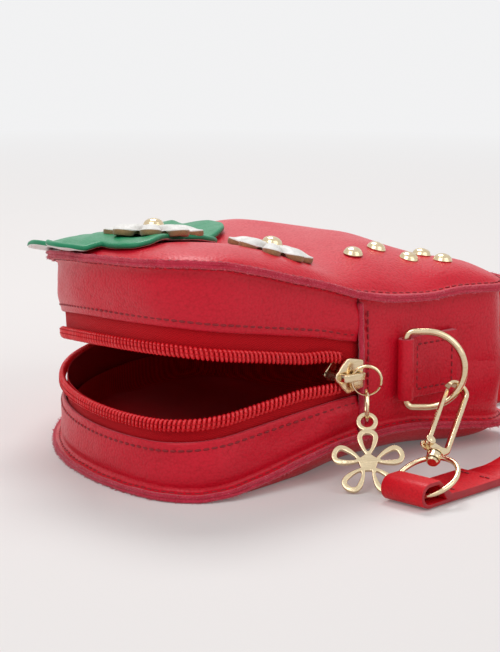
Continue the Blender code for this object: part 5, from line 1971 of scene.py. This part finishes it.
    def hook_bodies(self) -> None:
        """Cast hook with its rounded bow, slotted ears, pin, collar, post and rivet head."""
        boss, outer, foot, sole, nose = self.boss[0], self.outer, self.foot, self.sole, self.nose
        bow = [(x, nose + y) for x, y in circle(outer, 24, 0, math.pi, False)]
        inner = self.inner
        bow += [(-outer, foot), (-outer * 0.92, foot - 0.001), (-boss, sole + 0.0003), (-boss, sole),
                (boss, sole), (boss, sole + 0.0003), (outer * 0.92, foot - 0.001),
                (outer * 0.97, foot - 0.0004), (-inner * 0.4, foot - 0.0001), (-inner * 0.9, foot + 0.0006),
                (-inner, foot + 0.0018)]
        bow += [(x, nose + y) for x, y in circle(inner, 20, math.pi, -math.pi, False)]
        shapes = [plate([bow], self.thick, 0.00062, self.hook @ UPRIGHT, 4)]
        ear_half = self.thick / 2 + self.ear
        cheek = [(x, y) for x, y in circle(self.bar * 1.02, 24)]
        for side in (-1, 1):
            offset = Matrix.Translation((0, 0, side * (ear_half - self.ear * 0.7)))
            shapes.append(plate([cheek], self.ear * 1.4, 0.0002, self.hook @ self.pin_place() @ offset))
            head = [(0.0, 0.0002), (0.0005, 0.00018), (0.0008, 0.0), (0.0008, -0.0004), (0.0, -0.0004)]
            turn = Matrix.Rotation(0 if side > 0 else math.pi, 4, "X")
            cap = Matrix.Translation((0, 0, side * ear_half))
            shapes.append(turned_part(head, self.hook @ self.pin_place() @ cap @ turn, 16))
        low = sole - 2 * SHAPE.gap - self.boss[1]
        rivet, high = self.rivet
        collar = [(0.0, sole + 0.0006), (boss * 1.02, sole + 0.0006), (boss * 1.08, sole + 0.0003),
                  (boss * 1.05, sole), (self.post, sole - 0.0001), (self.post, low + 0.0001),
                  (rivet * 0.85, low), (rivet, low - high * 0.35), (rivet * 0.75, low - high * 0.8),
                  (0.0, low - high)]
        shapes.append(turned_part(collar, self.hook))
        self.both("snap_hook_body", shapes, [self.looks.gold], Slot.GOLD, "hook", "hook_body")

    def gates(self) -> None:
        """Sprung gate bar with its thumb ribs."""
        x0, z0 = self.outer - self.bar / 2, self.foot - self.gate_bore
        half, tip = self.thick / 2 - self.ear / 2 - SHAPE.gap, self.nose - self.gate_tip
        low, high = self.inner + SHAPE.gap / 3, self.outer
        edge = [(x0 + x, z0 + y) for x, y in circle(self.bar - 2 * SHAPE.gap, 14, math.pi, math.pi, False)]
        edge += [(high, self.foot + SHAPE.gap), (high, tip - 0.0004), (high - 0.0004, tip),
                 (low + 0.0003, tip), (low, tip - 0.0003), (low, self.foot + SHAPE.gap)]
        shapes = [plate([edge], 2 * half, 0.0004, self.hook @ UPRIGHT, 3)]
        middle = (tip * 0.4 + self.foot * 0.6)
        for i in range(4):
            spot = Matrix.Translation((high - 0.0001, 0, middle + 0.0012 * i))
            rib = [(x * 0.5, y) for x, y in circle(0.00042, 10)]
            shapes.append(plate([rib], 1.7 * half, 0.0001, self.hook @ spot @ UPRIGHT, 1))
        self.both("snap_hook_gate", shapes, [self.looks.gold], Slot.GOLD, "gate", "hook_gate")

    def eyes(self) -> None:
        """Round eyes of wire with the bored boss that turns on the hook's post."""
        turn = math.radians(self.strap_turn)
        across = self.hook.to_3x3().inverted() @ Vector((math.sin(turn), -math.cos(turn), 0))
        place = self.hook @ Matrix.Translation((0, 0, self.sole - SHAPE.gap)) @ Matrix.Rotation(
            math.atan2(-across.x, across.y), 4, "Z")
        (radius, wire), (boss, high) = self.eye, self.boss
        centre = -high / 2 - radius
        loop = turned([(0, x, centre + z) for x, z in circle(radius, 64)], place)
        shapes = [self.shop.wire(loop, wire, 12, True)]
        bore = self.post + self.play
        profile = [(bore, 0.0), (boss * 0.9, 0.0), (boss, -0.0003), (boss, 0.0004 - high),
                   (boss * 0.88, -high), (bore, -high), (bore, 0.0)]
        shapes.append(turned_part(profile, place))
        self.both("swivel_eye_ring", shapes, [self.looks.gold], Slot.GOLD, "eye", "swivel_eye")


# Leaf, daisies and studs


@dataclass
class Trim(Assembly):
    """Leaf, two daisies with their studs and five seed studs on the front panel."""

    leaf: float = 0.0018
    leaf_x: float = 0.018
    reach: Pair = (0.050, 0.062)
    lobes: int = 7
    long_share: float = 0.52
    point_share: float = 1.3
    lift: float = 0.0009
    stiff: float = 0.86
    daisy: float = 0.0021
    petals: int = 8
    valley: float = 0.4
    daisies: tuple[tuple[str, float, float, float], ...] = (
        ("leaf_daisy", 0.028, -0.033, 0.0155), ("panel_daisy", 0.064, -0.036, 0.0135))
    stud: Triple = (0.0032, 0.003, 0.72)
    brim: float = 0.00035
    seeds: tuple[Pair, ...] = (
        (0.0888, -0.0203), (0.0969, -0.0053), (0.1072, -0.0075), (0.1122, 0.0040), (0.1185, -0.0030))

    def build(self) -> None:
        """Makes all of the trim."""
        self.make_leaf()
        for name, x, y, radius in self.daisies:
            surface = self.leaf_top if name.startswith("leaf") else SHAPE.on_panel
            self.make_daisy(name, x, y, radius, surface)
        for number, (x, y) in enumerate(self.seeds, 1):
            place = self.rested(x, y, self.stud[1], SHAPE.on_panel)
            self.make_stud(f"seed_stud_{number}", place, self.stud[1], Carrier.BAG)

    def leaf_top(self, x: float, y: float) -> Point:
        """Upper face of the leaf over a plan point.

        Args:
            x: place from top to tip.
            y: place across.

        Returns:
            The point.
        """
        lift = self.lift + self.leaf
        point = SHAPE.on_panel(x, y, lift)
        inner = SHAPE.on_panel(self.leaf_x + (x - self.leaf_x) * self.stiff, y * self.stiff, lift)
        return Vector((point.x, point.y, max(inner.z, point.z)))

    def outlined(self, name: str, at: Plan, thick: float, rings: int,
                 finishes: Sequence[Paint], slot: Slot) -> Piece:
        """A sheet cut to an outline, from its edge to its middle.

        Args:
            name: the piece's name.
            at: place of a turn, in radians, and of a share of the way out.
            thick: its thickness.
            rings: rings from edge to middle.
            finishes: face and cut edge.
            slot: the record's slot.

        Returns:
            The piece.
        """
        bm = disc(rings, at)
        self.shop.facing(bm, MIDDLE)
        made = self.shop.piece(name, bm, finishes, slot, 45)
        return self.shop.walled(made, thick, 1, 1, 2, even=False)

    def make_leaf(self) -> None:
        """The calyx: one sheet of pointed lobes with pressed veins."""
        low, high = self.reach

        def at(turn: float, out: float) -> Point:
            """A point of the leaf, from its middle to its lobes."""
            wave = abs(math.sin(turn * self.lobes / 2 + math.pi / 2))
            reach = (low + (high - low) * wave ** self.point_share) * out
            x, y = self.leaf_x - reach * math.cos(turn) * self.long_share, -reach * math.sin(turn)
            point = self.leaf_top(x, y)
            curl = 0.0007 * noise.noise(Vector((x * 60, y * 60, 8.0))) * out
            vein = 0.0005 * math.exp(-((1 - wave) * 9) ** 2) * smooth(out * 3)
            return point + Vector((0, 0, curl - vein))

        made = self.outlined("calyx_leaf_leather", at, self.leaf, 28,
                             [self.looks.green, self.looks.green_edge, self.looks.white],
                             Slot.LEAF)
        self.shop.bent(made, "calyx_leaf")

    def rested(self, x: float, y: float, radius: float, surface: Plan) -> Matrix:
        """Axes standing on a surface, raised until a disc clears it.

        Args:
            x: place in plan.
            y: place in plan.
            radius: the disc's radius.
            surface: the surface's points in plan.

        Returns:
            The axes.
        """
        reach = SHAPE.seam if surface == SHAPE.on_panel and radius < 0.01 else radius
        ahead = (surface(x + reach, y) - surface(x - reach, y)).normalized()
        aside = (surface(x, y + reach) - surface(x, y - reach)).normalized()
        up = ahead.cross(aside).normalized()
        place = Matrix.Translation(surface(x, y)) @ axes(ahead, up.cross(ahead), up)
        back, high = place.inverted(), 0.0
        for ring in (1, 2, 3):
            for a in range(16):
                far, turn = radius * ring / 3, a * math.pi / 8
                high = max(high, (back @ surface(x + far * math.cos(turn), y + far * math.sin(turn))).z)
        return place @ Matrix.Translation((0, 0, high + 0.0001))

    def make_daisy(self, name: str, x: float, y: float, radius: float,
                   surface: Plan) -> None:
        """A daisy of cupped petals with its stud.

        Args:
            name: the daisy's node.
            x: place in plan.
            y: place in plan.
            radius: its radius.
            surface: what it lies on.
        """
        place = self.rested(x, y, radius, surface)

        def at(turn: float, out: float) -> Point:
            """A point of the daisy, from its middle to its petals."""
            wave = abs(math.cos(turn * self.petals / 2))
            reach = radius * (self.valley + (1 - self.valley) * wave ** 0.5) * out
            cup = 0.0009 * (wave ** 0.7 - 0.6) * smooth(out * 2) - 0.0014 * smooth((out - 0.45) * 2) ** 2
            return place @ Vector((reach * math.cos(turn), reach * math.sin(turn), self.daisy + cup))

        made = self.outlined(f"{name}_petals", at, self.daisy, 24,
                             [self.looks.white, self.looks.tan_edge, self.looks.tan_edge],
                             Slot.PETAL)
        self.shop.hung(made, Carrier.LID.value, name)
        seat = place @ Matrix.Translation((0, 0, self.daisy))
        self.make_stud(f"{name}_stud", seat, self.stud[0], Carrier.LID)

    def make_stud(self, node: str, place: Matrix, radius: float, carrier: Carrier) -> None:
        """A domed stud with a thin rolled brim, turned on a lathe.

        Args:
            node: the stud's node.
            place: its axes.
            radius: its radius.
            carrier: the body that it rides on.
        """
        high = radius * self.stud[2]
        brim = self.brim
        profile = [(0.0, -0.0002), (radius * 0.98, -0.0002), (radius * 1.04, 0.0001), (radius * 1.02, brim)]
        profile += [(radius * 0.97 * math.cos(a), brim + (high - brim) * math.sin(a))
                    for a in (math.pi / 2 * i / 12 for i in range(1, 12))]
        bm = turned_part(profile + [(0.0, high)], place, 36)
        made = self.shop.piece(f"{node}_dome", bm, [self.looks.gold], Slot.GOLD, 40)
        self.shop.hung(made, carrier.value, node)


# Studio


@dataclass
class Studio:
    """Pale floor, plain soft light and the camera."""

    eye: Triple = (0.0565, -0.703, 0.186)
    aim: Triple = (0.0565, -0.077, 0.053)
    lamp_aim: Triple = (0.06, 0, 0.03)
    lens: float = 122.0
    sensor: float = 36.0
    floor_size: float = 30.0
    floor_drop: float = 0.0002
    floor_glow: float = 0.12
    floor_colour: Colour = (0.82, 0.79, 0.78)
    pale: Colour = (0.885, 0.885, 0.892)
    world_light: float = 0.36
    lamps: tuple[tuple[str, Triple, float, float], ...] = (
        ("key_softbox", (-0.45, -0.75, 1.0), 0.9, 6.2),
        ("fill_softbox", (0.9, -0.6, 0.7), 0.9, 3.0),
        ("back_softbox", (0.0, 0.55, 1.0), 0.45, 6.8),
    )

    def camera(self) -> None:
        """Makes the camera at the photograph's angle."""
        data = bpy.data.cameras.new("photo_camera")
        data.lens, data.sensor_width, data.sensor_height = self.lens, self.sensor, self.sensor
        data.sensor_fit = "AUTO"
        bpy.context.scene.camera = self.aimed(shown("photo_camera", data), self.eye, self.aim)

    def aimed(self, made: Piece, place: Triple, target: Triple) -> Piece:
        """Puts a camera or a lamp at a place and turns it to a target."""
        made.location = place
        made.rotation_euler = (Vector(target) - Vector(place)).to_track_quat("-Z", "Y").to_euler()
        return made

    def build(self) -> None:
        """Makes the floor, the lamps and the world."""
        bm = bmesh.new()
        bmesh.ops.create_grid(bm, x_segments=1, y_segments=1, size=self.floor_size / 2)
        bmesh.ops.translate(bm, vec=(0, 0, -self.floor_drop), verts=bm.verts)
        data = bpy.data.meshes.new("floor")
        bm.to_mesh(data)
        bm.free()
        data.materials.append(Backdrop("studio_floor", self.floor_colour, self.pale, self.floor_glow).make())
        shown("floor", data)
        for name, place, size, power in self.lamps:
            lamp = bpy.data.lights.new(name, "AREA")
            lamp.shape, lamp.size, lamp.energy = "SQUARE", size, power
            self.aimed(shown(name, lamp), place, self.lamp_aim)
        self.world()
        bpy.context.scene.view_settings.view_transform = "Standard"

    def world(self) -> None:
        """White to the camera and in reflections, softer as a light."""
        n = Nodes("studio_world", True)
        level = n.seen() * (1 - self.world_light) + self.world_light
        glow = n.add("ShaderNodeBackground", {}, {"Color": (*self.pale, 1), "Strength": level})
        n.add("ShaderNodeOutputWorld", {}, {"Surface": glow})
        bpy.context.scene.world = n.material


def main() -> None:
    """Builds the whole scene, camera and strap first."""
    logging.basicConfig(level=logging.INFO, format="%(message)s")
    studio = Studio()
    studio.camera()
    shop = Workshop(Finishes())
    hooks = Hooks(shop)
    Strap(shop, hooks).build()
    for part in (Body(shop), Lining(shop), Zip(shop), Pull(shop), hooks, Trim(shop)):
        part.build()
    studio.build()


if __name__ == "__main__":
    main()
